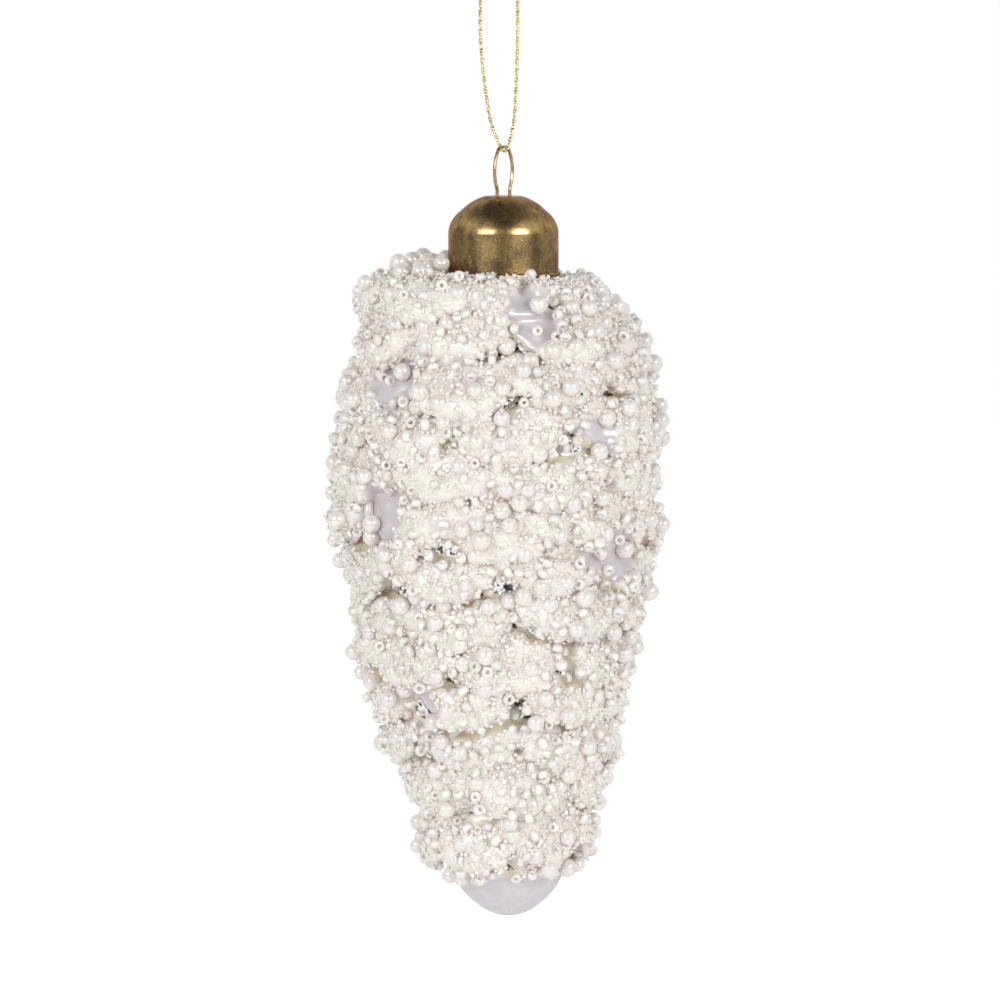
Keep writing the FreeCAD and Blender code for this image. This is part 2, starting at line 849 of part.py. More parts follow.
class Crust:
    """Beads set one by one on the glass where they clear the ones already there."""

    def __init__(self, surface):
        self.surface = surface
        self.chance = random.Random(SEED_OF_CHANCE + 1)
        self.placed = []
        self.rows = surface.NbVPoles - 3

    def spot(self):
        """A chance point on the skin with its outward normal and share of the length."""
        u = self.chance.uniform(0.0, POLES_ROUND)
        v = self.chance.uniform(1.0, self.rows - 5.0)
        point = self.surface.value(u, v)
        normal = self.surface.normal(u, v)
        share = (shoulder_level() - point.z) / size("glass_length")
        shift_x, shift_y = wander(clamp(share, 0.0, 1.0))
        out = FreeCAD.Vector(point.x - shift_x, point.y - shift_y, 0)
        if normal.dot(out) < 0:
            normal = normal * -1.0
        heading = math.atan2(out.y, out.x)
        return point, normal, share, heading, out.Length

    def clear(self, centre, radius):
        """Does a ball here stay clear of every bead placed so far?"""
        for other, other_radius in self.placed:
            away = radius + other_radius + size("bead_gap")
            if abs(other.z - centre.z) < away and (other - centre).Length < away:
                return False
        if centre.z + radius > -size("cap_height") - size("beads_below_rim"):
            inside = size("cap_radius") + size("beads_off_cap")
            if math.hypot(centre.x, centre.y) - radius < inside:
                return False
        return True

    def place(self, kind, band, count, reach, lift, spread, on_scales):
        """Place a number of beads of a kind inside a band of the length."""
        shapes = []
        tries = 0
        while len(shapes) < count and tries < TRIES:
            tries += 1
            point, normal, share, heading, around = self.spot()
            if not band[0] <= share < band[1]:
                continue
            if self.chance.random() > around / WIDEST_REACH:
                continue
            if on_scales and scale_height(share, heading) < self.chance.uniform(*SCALE_DRAW):
                continue
            centre = point + normal * (lift + self.chance.uniform(0.0, spread))
            if not self.clear(centre, reach):
                continue
            self.placed.append((centre, reach))
            side = normal.cross(FreeCAD.Vector(0, 0, 1))
            if side.Length < 1e-3:
                side = FreeCAD.Vector(1, 0, 0)
            side.normalize()
            turn = FreeCAD.Rotation(normal, self.chance.uniform(0, 180))
            axis = turn.multVec(side)
            if kind == "seed" and self.chance.random() < TILTED_SEEDS:
                axis = axis + normal * self.chance.uniform(*TILT_DRAW)
            axis.normalize()
            bead = BASES[kind].copy()
            bead.Placement = FreeCAD.Placement(
                centre, FreeCAD.Rotation(FreeCAD.Vector(0, 0, 1), axis)
            )
            shapes.append(bead)
        return shapes


def keep_beads(node, shapes):
    """Register a group of loose beads as one part."""
    item = doc.addObject("Part::Feature", node)
    item.Shape = Part.makeCompound(shapes)
    print(node, len(shapes))
    return keep(node, item, "cap_top_drop")


def build_crust(surface):
    """Pearls first, then bugles, then seed beads in the room that is left."""
    crust = Crust(surface)
    bedding = size("bead_bedding")
    pearl = size("pearl_diameter") / 2
    seed = size("seed_diameter") / 2 * SEED_ROUNDING
    bugle = size("bugle_length") / 2
    bands = list(zip([0.0] + TIER_EDGES[:-1], TIER_EDGES))
    for number, band in enumerate(bands):
        count = PEARLS_PER_TIER[number]
        shapes = crust.place("pearl", band, count, pearl, pearl - bedding, 0.0, True)
        keep_beads("pearls_tier_%d" % (number + 1), shapes)
    lift = size("bugle_diameter") / 2 - bedding
    bugles = crust.place("bugle", BUGLE_BAND, BUGLES, bugle, lift, 0.0, False)
    keep_beads("bugle_beads", bugles)
    lift = size("seed_length") / 2 - bedding / 2
    for number, band in enumerate(bands):
        count = SEEDS_PER_TIER[number]
        shapes = crust.place("seed", band, count, seed, lift, SEED_LIFT_SPREAD, False)
        keep_beads("seed_beads_tier_%d" % (number + 1), shapes)


# ------------------------------------------------------------------------------------ build

build_thread()
build_knot()
build_hanger_wire()
build_cap()
glass_surface = build_glass()
BASES = make_bases()
build_crust(glass_surface)
doc.recompute()

problems = []
for item in doc.Objects:
    if "Invalid" in item.State or "Error" in item.State:
        problems.append("%s is in state %s" % (item.Name, item.State))
for node, item in parts.items():
    shape = item.Shape
    if shape.isNull() or not shape.isValid() or not shape.Solids:
        problems.append("%s has no valid solid" % node)
if problems:
    raise RuntimeError("; ".join(problems))

os.makedirs("parts", exist_ok=True)
for node, item in parts.items():
    item.Shape.exportStep("parts/%s.step" % node)
    box = item.Shape.BoundBox
    print(
        "%-20s solids %3d volume %9.2f  z %.2f..%.2f"
        % (node, len(item.Shape.Solids), item.Shape.Volume, box.ZMin, box.ZMax)
    )
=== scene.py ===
import logging
import math
import random
from collections.abc import Sequence
from dataclasses import dataclass
from enum import Enum
from typing import Union

import bmesh
import bpy
import numpy as np
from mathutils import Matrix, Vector, noise


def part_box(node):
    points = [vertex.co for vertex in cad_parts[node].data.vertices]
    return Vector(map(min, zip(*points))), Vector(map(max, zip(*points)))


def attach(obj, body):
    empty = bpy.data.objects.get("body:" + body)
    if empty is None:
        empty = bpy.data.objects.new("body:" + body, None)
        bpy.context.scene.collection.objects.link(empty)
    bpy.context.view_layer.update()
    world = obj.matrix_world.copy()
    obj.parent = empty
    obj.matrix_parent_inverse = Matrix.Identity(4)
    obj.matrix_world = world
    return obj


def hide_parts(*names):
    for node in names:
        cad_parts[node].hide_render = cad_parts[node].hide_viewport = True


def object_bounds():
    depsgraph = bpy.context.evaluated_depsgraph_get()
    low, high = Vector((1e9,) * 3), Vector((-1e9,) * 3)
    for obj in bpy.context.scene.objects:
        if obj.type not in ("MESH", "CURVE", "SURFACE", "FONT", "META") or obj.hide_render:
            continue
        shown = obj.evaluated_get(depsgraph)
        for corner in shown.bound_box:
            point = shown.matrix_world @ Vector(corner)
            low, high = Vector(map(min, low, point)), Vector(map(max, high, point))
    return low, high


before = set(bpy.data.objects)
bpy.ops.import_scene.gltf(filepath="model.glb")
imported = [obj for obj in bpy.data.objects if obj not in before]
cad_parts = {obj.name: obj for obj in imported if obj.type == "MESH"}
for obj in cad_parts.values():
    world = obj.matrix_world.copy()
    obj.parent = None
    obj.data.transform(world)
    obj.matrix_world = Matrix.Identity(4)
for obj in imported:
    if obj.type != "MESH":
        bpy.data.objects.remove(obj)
CAD_BOX = [list(corner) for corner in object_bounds()]

# A blown glass ornament: a cone of overlapping scales, silvered inside and frosted outside, with
# pearls, seed beads, bugles and glass crumbs glued all over it, a brass cap, a wire eye and a
# thread loop. Metres, +Z up, in the frame of the CAD model.

MM = 0.001
FULL_TURN = 2 * math.pi
FRONT_HEADING = math.radians(210.0)
TIERS = 7
HEART_LINE = (-0.150, -0.058)  # ends of the upright line inside the glass
CRUST_TOP = -0.0531  # no bead is set on glass above this
CAP_RIM = -0.0524  # beads above this would be level with the cap
WELD_GAP = 2e-6  # points nearer than this are one
WHITE = (1.0, 1.0, 1.0, 1.0)

Feed = Union[bpy.types.NodeSocket, float, tuple]  # what an input of a node may be fed from
Place = Sequence[float]  # x, y and z in metres
logging.basicConfig(level=logging.INFO, format="%(message)s")
LOG = logging.getLogger("ornament")


class Body(Enum):
    """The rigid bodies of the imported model."""

    THREAD = "thread"
    HANGER = "hanger"
    CAP = "cap"
    GLASS = "glass"


class Slot(Enum):
    """The record's material slots."""

    GLASS = "silvered_glass"
    BRASS = "aged_brass"
    WIRE = "copper_wire"
    THREAD = "gold_thread"
    PEARL = "pearl"
    SEED = "seed_glass"
    BUGLE = "bugle_glass"


class BeadKind(Enum):
    """The kinds of bead in the crust, the largest first."""

    PEARL = "pearl"
    BUGLE = "bugle"
    SEED = "seed"
    MICRO = "micro"
    CRUMB = "crumb"


# ------------------------------------------------------------------------------ shared tools


class Graph:
    """A shader node tree with short calls for adding and joining nodes."""

    def __init__(self, name: str) -> None:
        """Start an empty material.

        Args:
            name: The material's name.
        """
        self.material = bpy.data.materials.new(name)
        self.material.use_nodes = True
        self.tree = self.material.node_tree
        self.tree.nodes.clear()
        self.out = self.add("ShaderNodeOutputMaterial")
        self.object_place = self.add("ShaderNodeTexCoord").outputs["Object"]

    def add(self, kind: str, **settings) -> bpy.types.Node:
        """Add a node.

        Args:
            kind: The node's type name.
            settings: Properties to set on the node.

        Returns:
            The new node.
        """
        node = self.tree.nodes.new(kind)
        for key, value in settings.items():
            setattr(node, key, value)
        return node

    def put(self, socket: bpy.types.NodeSocket, value: Feed) -> None:
        """Feed a socket from another socket or from a constant.

        Args:
            socket: The input socket.
            value: An output socket, or a constant for the input's own value.
        """
        if isinstance(value, bpy.types.NodeSocket):
            self.tree.links.new(value, socket)
        else:
            socket.default_value = value

    def grain(self, scale: float, detail: float = 3.0, rough: float = 0.55) -> bpy.types.NodeSocket:
        """Noise on object coordinates.

        Args:
            scale: Cells per metre.
            detail: Octaves.
            rough: Share of each finer octave.

        Returns:
            The noise factor, about 0.5 on average.
        """
        node = self.add("ShaderNodeTexNoise")
        self.put(node.inputs["Vector"], self.object_place)
        node.inputs["Scale"].default_value = scale
        node.inputs["Detail"].default_value = detail
        node.inputs["Roughness"].default_value = rough
        return node.outputs["Fac"]

    def cells(self, scale: float) -> bpy.types.NodeSocket:
        """Distance from the nearest seed of Voronoi cells on object coordinates.

        Args:
            scale: Cells per metre.

        Returns:
            The distance socket, in cells.
        """
        node = self.add("ShaderNodeTexVoronoi")
        self.put(node.inputs["Vector"], self.object_place)
        node.inputs["Scale"].default_value = scale
        return node.outputs["Distance"]

    def between(
        self, value: Feed, low: float, high: float, to_low: float = 0.0, to_high: float = 1.0
    ) -> bpy.types.NodeSocket:
        """Smooth remap of a value from one range to another, clamped.

        Args:
            value: The socket to remap.
            low: Value that gives to_low.
            high: Value that gives to_high.
            to_low: Result at low.
            to_high: Result at high.

        Returns:
            The remapped socket.
        """
        node = self.add("ShaderNodeMapRange", interpolation_type="SMOOTHSTEP")
        self.put(node.inputs["Value"], value)
        for key, number in (
            ("From Min", low), ("From Max", high), ("To Min", to_low), ("To Max", to_high)
        ):
            node.inputs[key].default_value = number
        return node.outputs["Result"]

    def maths(self, kind: str, first: Feed, second: Feed = 0.0) -> bpy.types.NodeSocket:
        """A maths node on two values.

        Args:
            kind: The operation.
            first: Socket or number.
            second: Socket or number.

        Returns:
            The result socket.
        """
        node = self.add("ShaderNodeMath", operation=kind)
        self.put(node.inputs[0], first)
        self.put(node.inputs[1], second)
        return node.outputs[0]

    def colours(self, share: Feed, low: Feed, high: Feed) -> bpy.types.NodeSocket:
        """Mix two colours.

        Args:
            share: Socket or number, 0 for low and 1 for high.
            low: Colour or socket.
            high: Colour or socket.

        Returns:
            The colour socket.
        """
        node = self.add("ShaderNodeMix", data_type="RGBA")
        self.put(node.inputs["Factor"], share)
        for key, value in (("A", low), ("B", high)):
            socket = [i for i in node.inputs if i.name == key and i.type == "RGBA"][0]
            self.put(socket, value if isinstance(value, bpy.types.NodeSocket) else (*value, 1.0))
        return [o for o in node.outputs if o.type == "RGBA"][0]

    def attribute(self, name: str) -> bpy.types.NodeSocket:
        """A float attribute of the mesh, as a socket."""
        return self.add("ShaderNodeAttribute", attribute_name=name).outputs["Fac"]

    def bump(self, height: Feed, strength: float, distance: float) -> bpy.types.NodeSocket:
        """A bump from a height.

        Args:
            height: Height socket.
            strength: Share of the bump.
            distance: Metres from low to high.

        Returns:
            The normal socket.
        """
        node = self.add("ShaderNodeBump")
        self.put(node.inputs["Height"], height)
        node.inputs["Strength"].default_value = strength
        node.inputs["Distance"].default_value = distance
        return node.outputs["Normal"]

    def swing(self, value: Feed, share: float) -> bpy.types.NodeSocket:
        """A noise about 0.5 turned into one about 0, times a share."""
        return self.maths("MULTIPLY", self.maths("SUBTRACT", value, 0.5), share)

    def ball_normal(self) -> bpy.types.NodeSocket:
        """The normal of a perfect ball about the mesh's centre attribute."""
        centre = self.add("ShaderNodeAttribute", attribute_name="centre").outputs["Vector"]
        away = self.add("ShaderNodeVectorMath", operation="SUBTRACT")
        self.put(away.inputs[0], self.object_place)
        self.put(away.inputs[1], centre)
        unit = self.add("ShaderNodeVectorMath", operation="NORMALIZE")
        self.put(unit.inputs[0], away.outputs[0])
        turned = self.add(
            "ShaderNodeVectorTransform",
            vector_type="NORMAL",
            convert_from="OBJECT",
            convert_to="WORLD",
        )
        self.put(turned.inputs[0], unit.outputs[0])
        return turned.outputs[0]

    def surface(self, **inputs: Feed) -> bpy.types.NodeSocket:
        """A Principled surface.

        Args:
            inputs: Socket names with underscores for spaces, and their values.

        Returns:
            The shader socket.
        """
        node = self.add("ShaderNodeBsdfPrincipled")
        for key, value in inputs.items():
            socket = node.inputs[key.replace("_", " ")]
            if isinstance(value, tuple) and len(value) == 3 and socket.type == "RGBA":
                value = (*value, 1.0)
            self.put(socket, value)
        return node.outputs["BSDF"]

    def blend(self, share: Feed, low: Feed, high: Feed) -> bpy.types.NodeSocket:
        """Mix two shaders by a share."""
        node = self.add("ShaderNodeMixShader")
        self.put(node.inputs[0], share)
        self.put(node.inputs[1], low)
        self.put(node.inputs[2], high)
        return node.outputs[0]

    def done(self, shader: bpy.types.NodeSocket) -> bpy.types.Material:
        """Join the shader to the output and return the material."""
        self.put(self.out.inputs["Surface"], shader)
        return self.material


def new_object(name: str, mesh: bpy.types.Mesh) -> bpy.types.Object:
    """Put a mesh in the scene at the origin.

    Args:
        name: The piece's name.
        mesh: Its mesh, with its place in its vertices.

    Returns:
        The object.
    """
    piece = bpy.data.objects.new(name, mesh)
    bpy.context.scene.collection.objects.link(piece)
    return piece


def mesh_from(name: str, points: Sequence, faces: Sequence) -> bpy.types.Mesh:
    """A smooth shaded mesh from points and faces.

    Args:
        name: The mesh's name.
        points: Rows of x, y, z in metres.
        faces: Rows of point numbers.

    Returns:
        The mesh.
    """
    mesh = bpy.data.meshes.new(name)
    mesh.from_pydata([tuple(p) for p in points], [], [tuple(f) for f in faces])
    mesh.polygons.foreach_set("use_smooth", [True] * len(mesh.polygons))
    mesh.update()
    return mesh


def lathe(name: str, profile: Sequence, segments: int, closed: bool) -> bpy.types.Mesh:
    """Turn a profile of radius and height about Z.

    Args:
        name: The mesh's name.
        profile: Pairs of radius and height; a radius of 0 makes a pole.
        segments: Faces round the axis.
        closed: Join the profile's end to its start, for a ring.

    Returns:
        The mesh, facing outwards for a profile that runs upwards on its outer side.
    """
    points = []
    rings = []
    for radius, height in profile:
        if radius == 0.0:
            rings.append([len(points)] * segments)
            points.append((0.0, 0.0, height))
            continue
        rings.append(list(range(len(points), len(points) + segments)))
        for number in range(segments):
            angle = FULL_TURN * number / segments
            points.append((radius * math.cos(angle), radius * math.sin(angle), height))
    faces = []
    pairs = list(zip(rings, rings[1:]))
    if closed:
        pairs.append((rings[-1], rings[0]))
    for low, high in pairs:
        for number in range(segments):
            after = (number + 1) % segments
            face = [low[number], low[after], high[after], high[number]]
            face = [p for place, p in enumerate(face) if p not in face[:place]]
            if len(face) > 2:
                faces.append(face)
    return mesh_from(name, points, faces)


def welded(node: str) -> bmesh.types.BMesh:
    """A CAD node's mesh with its loose triangles joined, for the caller to free."""
    work = bmesh.new()
    work.from_mesh(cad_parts[node].data)
    bmesh.ops.remove_doubles(work, verts=work.verts, dist=WELD_GAP)
    return work


def merged_mesh(node: str) -> bpy.types.Mesh:
    """A copy of a CAD node's mesh with its loose triangles joined and smooth shading."""
    work = welded(node)
    mesh = bpy.data.meshes.new(node + "_copy")
    work.to_mesh(mesh)
    work.free()
    mesh.polygons.foreach_set("use_smooth", [True] * len(mesh.polygons))
    return mesh


def thinned(mesh: bpy.types.Mesh, kept: float) -> bpy.types.Mesh:
    """The same mesh with only a share of its triangles."""
    holder = new_object(mesh.name, mesh)
    holder.modifiers.new("thin", "DECIMATE").ratio = kept
    graph = bpy.context.evaluated_depsgraph_get()
    result = bpy.data.meshes.new_from_object(holder.evaluated_get(graph))
    bpy.data.objects.remove(holder)
    return result


def float_attribute(mesh: bpy.types.Mesh, name: str, values: Sequence) -> None:
    """Store one float for each point of a mesh."""
    layer = mesh.attributes.new(name, "FLOAT", "POINT")
    layer.data.foreach_set("value", np.asarray(values, np.float32))


def vector_attribute(mesh: bpy.types.Mesh, name: str, values: Sequence) -> None:
    """Store one vector for each point of a mesh."""
    layer = mesh.attributes.new(name, "FLOAT_VECTOR", "POINT")
    layer.data.foreach_set("vector", np.asarray(values, np.float32).ravel())


def rows(mesh: bpy.types.Mesh, kind: str) -> np.ndarray:
    """A mesh's points ("co") or normals ("normal") as rows of x, y, z."""
    values = np.empty(len(mesh.vertices) * 3, np.float32)
    mesh.vertices.foreach_get(kind, values)
    return values.reshape(-1, 3).astype(float)


def noises(places: np.ndarray, scale: float) -> np.ndarray:
    """Noise from -1 to 1 at each place, with its scale in cells per metre."""
    return np.array([noise.noise(Vector(p) * scale) for p in places])


# ---------------------------------------------------------------------------------- finishes


@dataclass(frozen=True)
class SilveredGlass:
    """Frosted blown glass over silvering, with a milky adhesive coat under the crust.

    Attributes:
        ivory: Colour of the adhesive coat.
        milk: Its colour where it is cloudier.
        bare: Colour of the bare frosted patches.
        smeared: Their colour where adhesive is smeared over them.
        khaki_glue_and_shade: Colour of the adhesive pooled along a lip, partly its own colour and
            partly painted shade in the fold.
        honey: Its colour where it pooled thinly.
        silver: Colour of the silvering where the glass is clear.
        painted_dark_reflection: Painted dark reflection: the silvering's colour in its dark
            streaks, standing in for the dark of a fold that it mirrors.
        cloud_scale: Clouds of the adhesive, in cells per metre.
        frost_scale: Fine grain of the adhesive.
        frost_depth: Height of that grain.
        smear_scale: Smears on the frosted glass.
        smear_depth: Height of the smears.
        wave_scale: Waves of the clear glass.
        wave_depth: Height of the waves.
        reflection_streak_scale: Painted bright and dark reflection streaks of the silvering.
        coat_spread: How far red, green and blue light spread in the adhesive coat.
        resin_spread: The same in the pooled adhesive.
    """

    ivory: tuple = (0.955, 0.897, 0.838)
    milk: tuple = (0.955, 0.91, 0.88)
    bare: tuple = (0.70, 0.65, 0.685)
    smeared: tuple = (0.80, 0.755, 0.765)
    khaki_glue_and_shade: tuple = (0.80, 0.71, 0.50)
    honey: tuple = (0.92, 0.88, 0.79)
    silver: tuple = (0.95, 0.94, 0.94)
    painted_dark_reflection: tuple = (0.13, 0.12, 0.12)
    cloud_scale: float = 240.0
    frost_scale: float = 2400.0
    frost_depth: float = 0.22 * MM
    smear_scale: float = 420.0
    smear_depth: float = 0.2 * MM
    wave_scale: float = 480.0
    wave_depth: float = 0.8 * MM
    reflection_streak_scale: float = 700.0
    coat_spread: tuple = (0.8 * MM, 0.9 * MM, 1.0 * MM)
    resin_spread: tuple = (1.0 * MM, 0.9 * MM, 0.6 * MM)

    def build(self) -> bpy.types.Material:
        """Make the material.

        Returns:
            The material.
        """
        g = Graph("silvered_frosted_glass")
        fold = g.attribute("fold")
        bare = g.attribute("bare")
        opened = g.attribute("opened")
        cloud = g.grain(self.cloud_scale, 4.0)
        frost = g.grain(self.frost_scale, 3.0, 0.65)
        adhesive = g.surface(
            Base_Color=g.colours(g.between(cloud, 0.35, 0.7, 0.0, 0.6), self.ivory, self.milk),
            Roughness=g.between(cloud, 0.3, 0.7, 0.28, 0.45),
            Normal=g.bump(frost, 0.8, self.frost_depth),
            Coat_Weight=0.5,
            Coat_Roughness=0.10,
            Subsurface_Weight=0.25,
            Subsurface_Radius=self.coat_spread,
            Subsurface_Scale=1.0,
        )
        smear = g.grain(self.smear_scale, 5.0, 0.6)
        frosted = g.surface(
            Base_Color=g.colours(g.between(smear, 0.4, 0.7, 0.0, 0.6), self.bare, self.smeared),
            Roughness=g.between(smear, 0.3, 0.7, 0.42, 0.26),
            Metallic=0.15,
            Normal=g.bump(smear, 0.35, self.smear_depth),
            Coat_Weight=0.4,
            Coat_Roughness=0.2,
        )
        # Painted reflection: dark streaks in the silvering's colour stand in for the dark that the
        # mirror would reflect.
        dark_reflection_share = g.between(g.grain(self.reflection_streak_scale, 1.0, 0.5), 0.41, 0.46)
        silvered = g.surface(
            Base_Color=g.colours(dark_reflection_share, self.painted_dark_reflection, self.silver),
            Metallic=1.0,
            Roughness=0.05,
            Normal=g.bump(g.grain(self.wave_scale, 1.0), 1.0, self.wave_depth),
        )
        # Pooled adhesive: partly the glue's own khaki, partly painted shade in the folds.
        resin_and_shade = g.surface(
            Base_Color=g.colours(g.between(smear, 0.35, 0.65), self.khaki_glue_and_shade, self.honey),
            Roughness=0.3,
            Coat_Weight=0.5,
            Coat_Roughness=0.12,
            Subsurface_Weight=0.2,
            Subsurface_Radius=self.resin_spread,
            Subsurface_Scale=1.0,
        )
        ragged = g.maths("ADD", opened, g.swing(smear, 0.5))
        base = g.blend(g.between(bare, 0.2, 0.8), adhesive, frosted)
        # Painted shade: the darker khaki adhesive is laid where the folds lie.
        pooled = g.blend(g.between(ragged, 0.30, 0.70), base, resin_and_shade)
        glint = g.maths("ADD", ragged, g.swing(cloud, 0.7))
        clear = g.maths("MULTIPLY", g.between(glint, 0.62, 0.66), g.between(fold, 0.40, 0.50))
        return g.done(g.blend(clear, pooled, silvered))


@dataclass(frozen=True)
class PearlCoat:
    """Nacre-like coat of the imitation pearls.

    Attributes:
        cream: Colour of the yellower pearls.
        blush: Colour of the pinker pearls.
        sheen: Colour of the soft sheen at their edges.
        cloud_scale: Clouds of the coat, in cells per metre.
        lustre: Refraction of the coat, which sets how bright its highlights are.
        spread: How far red, green and blue light spread under the coat.
    """

    cream: tuple = (0.90, 0.84, 0.785)
    blush: tuple = (0.89, 0.82, 0.80)
    sheen: tuple = (1.0, 0.9, 0.94)
    cloud_scale: float = 1400.0
    lustre: float = 2.3
    spread: tuple = (0.6 * MM, 0.6 * MM, 0.6 * MM)

    def build(self) -> bpy.types.Material:
        """Make the material.

        Returns:
            The material.
        """
        g = Graph("pearl_coat")
        cloud = g.grain(self.cloud_scale, 2.0)
        shader = g.surface(
            Base_Color=g.colours(g.attribute("tint"), self.cream, self.blush),
            Roughness=g.between(cloud, 0.3, 0.7, 0.2, 0.28),
            Specular_IOR_Level=0.3,
            Normal=g.ball_normal(),
            Coat_Normal=g.ball_normal(),
            Coat_Weight=1.0,
            Coat_IOR=self.lustre,
            Coat_Roughness=0.10,
            Sheen_Weight=0.15,
            Sheen_Roughness=0.4,
            Sheen_Tint=self.sheen,
            Subsurface_Weight=0.2,
            Subsurface_Radius=self.spread,
            Subsurface_Scale=1.0,
        )
        return g.done(shader)


@dataclass(frozen=True)
class BeadGlass:
    """Glass of the beads that are not pearls.

    Attributes:
        name: The material's name.
        warm: The yellower colour.
        cool: The whiter colour.
        clearness: Share of light let through.
        rough: Roughness of the glass.
        ball: Whether the beads are balls.
        frost: Colour of the frosted clouds in the glass.
        cloud_scale: Those clouds, in cells per metre.
        spread: How far red, green and blue light spread in the glass.
    """

    name: str
    warm: tuple
    cool: tuple
    clearness: float
    rough: float
    ball: bool = False
    frost: tuple = (0.96, 0.915, 0.885)
    cloud_scale: float = 1600.0
    spread: tuple = (0.6 * MM, 0.7 * MM, 0.8 * MM)

    def build(self) -> bpy.types.Material:
        """Make the material.

        Returns:
            The material.
        """
        g = Graph(self.name)
        body = g.colours(g.attribute("tint"), self.warm, self.cool)
        cloud = g.between(g.grain(self.cloud_scale, 2.0), 0.35, 0.75, 0.0, 0.3)
        round_normal = {"Normal": g.ball_normal()} if self.ball else {}
        shader = g.surface(
            **round_normal,
            Base_Color=g.colours(cloud, body, self.frost),
            Roughness=self.rough,
            Specular_IOR_Level=0.6,
            Transmission_Weight=self.clearness,
            IOR=1.5,
            Coat_Weight=0.6,
            Coat_Roughness=0.06,
            Subsurface_Weight=0.25,
            Subsurface_Radius=self.spread,
            Subsurface_Scale=1.0,
        )
        return g.done(shader)


@dataclass(frozen=True)
class AgedBrass:
    """Mottled, speckled old brass.

    Attributes:
        gold: The rubbed colour.
        brown: The patina.
        bright: Colour of the small bright flecks.
        powder: Colour of the specks of bead dust on it.
        edge: Tint of the metal's reflection at its edges.
        cloud_scale: Clouds of the patina, in cells per metre.
        fine_scale: Fine grain of the patina.
        fleck_scale: The bright flecks.
        dust_scale: The specks of dust.
        depth: Height of the grain.
    """

    gold: tuple = (0.46, 0.312, 0.118)
    brown: tuple = (0.13, 0.09, 0.06)
    bright: tuple = (0.75, 0.62, 0.42)
    powder: tuple = (0.95, 0.90, 0.84)
    edge: tuple = (0.6, 0.5, 0.52)
    cloud_scale: float = 190.0
    fine_scale: float = 1500.0
    fleck_scale: float = 2600.0
    dust_scale: float = 420.0
    depth: float = 0.05 * MM

    def build(self) -> bpy.types.Material:
        """Make the material.

        Returns:
            The material.
        """
        g = Graph("aged_brass")
        cloud = g.grain(self.cloud_scale, 5.0, 0.65)
        fine = g.grain(self.fine_scale, 4.0, 0.7)
        mottle = g.maths("ADD", g.maths("MULTIPLY", cloud, 0.65), g.maths("MULTIPLY", fine, 0.35))
        body = g.colours(g.between(mottle, 0.36, 0.62), self.brown, self.gold)
        fleck = g.between(g.cells(self.fleck_scale), 0.16, 0.08)
        body = g.colours(fleck, body, self.bright)
        body = g.colours(g.between(g.cells(self.dust_scale), 0.045, 0.03), body, self.powder)
        height = g.maths("ADD", fine, g.maths("MULTIPLY", fleck, 0.6))
        shader = g.surface(
            Base_Color=body,
            Metallic=1.0,
            Roughness=g.between(mottle, 0.3, 0.7, 0.30, 0.17),
            Normal=g.bump(height, 0.35, self.depth),
            Specular_Tint=self.edge,
        )
        return g.done(shader)


@dataclass(frozen=True)
class DrawnWire:
    """Coppery drawn wire with faint die lines.

    Attributes:
        copper: The metal's colour.
        dull: Where it has dulled.
        cloud_scale: The dull clouds, in cells per metre.
        line_scale: The die lines.
        line_depth: Height of the die lines.
    """

    copper: tuple = (0.62, 0.40, 0.22)
    dull: tuple = (0.32, 0.20, 0.11)
    cloud_scale: float = 700.0
    line_scale: float = 6000.0
    line_depth: float = 0.02 * MM

    def build(self) -> bpy.types.Material:
        """Make the material.

        Returns:
            The material.
        """
        g = Graph("drawn_copper_wire")
        cloud = g.grain(self.cloud_scale, 3.0)
        shader = g.surface(
            Base_Color=g.colours(g.between(cloud, 0.35, 0.65), self.dull, self.copper),
            Metallic=1.0,
            Roughness=g.between(cloud, 0.3, 0.7, 0.32, 0.2),
            Normal=g.bump(g.grain(self.line_scale, 1.0), 0.2, self.line_depth),
        )
        return g.done(shader)


@dataclass(frozen=True)
class MetallicYarn:
    """Foil-wrapped twisted yarn: bright gold foil over paler core threads.

    Attributes:
        foil: The foil's colour.
        shade: The foil's colour between its glints.
        core: The colour of the core thread that shows between turns of foil.
        turn: Length of thread for one turn of foil.
        turn_depth: Height of a turn of foil.
        glint_scale: The foil's glints, in cells per metre.
    """

    foil: tuple = (0.83, 0.64, 0.26)
    shade: tuple = (0.42, 0.30, 0.10)
    core: tuple = (0.86, 0.80, 0.62)
    turn: float = 0.55 * MM
    turn_depth: float = 0.04 * MM
    glint_scale: float = 2600.0

    def build(self) -> bpy.types.Material:
        """Make the material.

        Returns:
            The material.
        """
        g = Graph("gold_metallic_yarn")
        along = g.attribute("along")
        turns = g.maths("SINE", g.maths("MULTIPLY", along, FULL_TURN / self.turn))
        glint = g.grain(self.glint_scale, 2.0)
        body = g.colours(g.between(glint, 0.4, 0.6), self.shade, self.foil)
        body = g.colours(g.between(turns, 0.55, 0.95), body, self.core)
        shader = g.surface(
            Base_Color=body,
            Metallic=0.85,
            Roughness=g.between(glint, 0.3, 0.7, 0.42, 0.22),
            Normal=g.bump(turns, 0.6, self.turn_depth),
        )
        return g.done(shader)


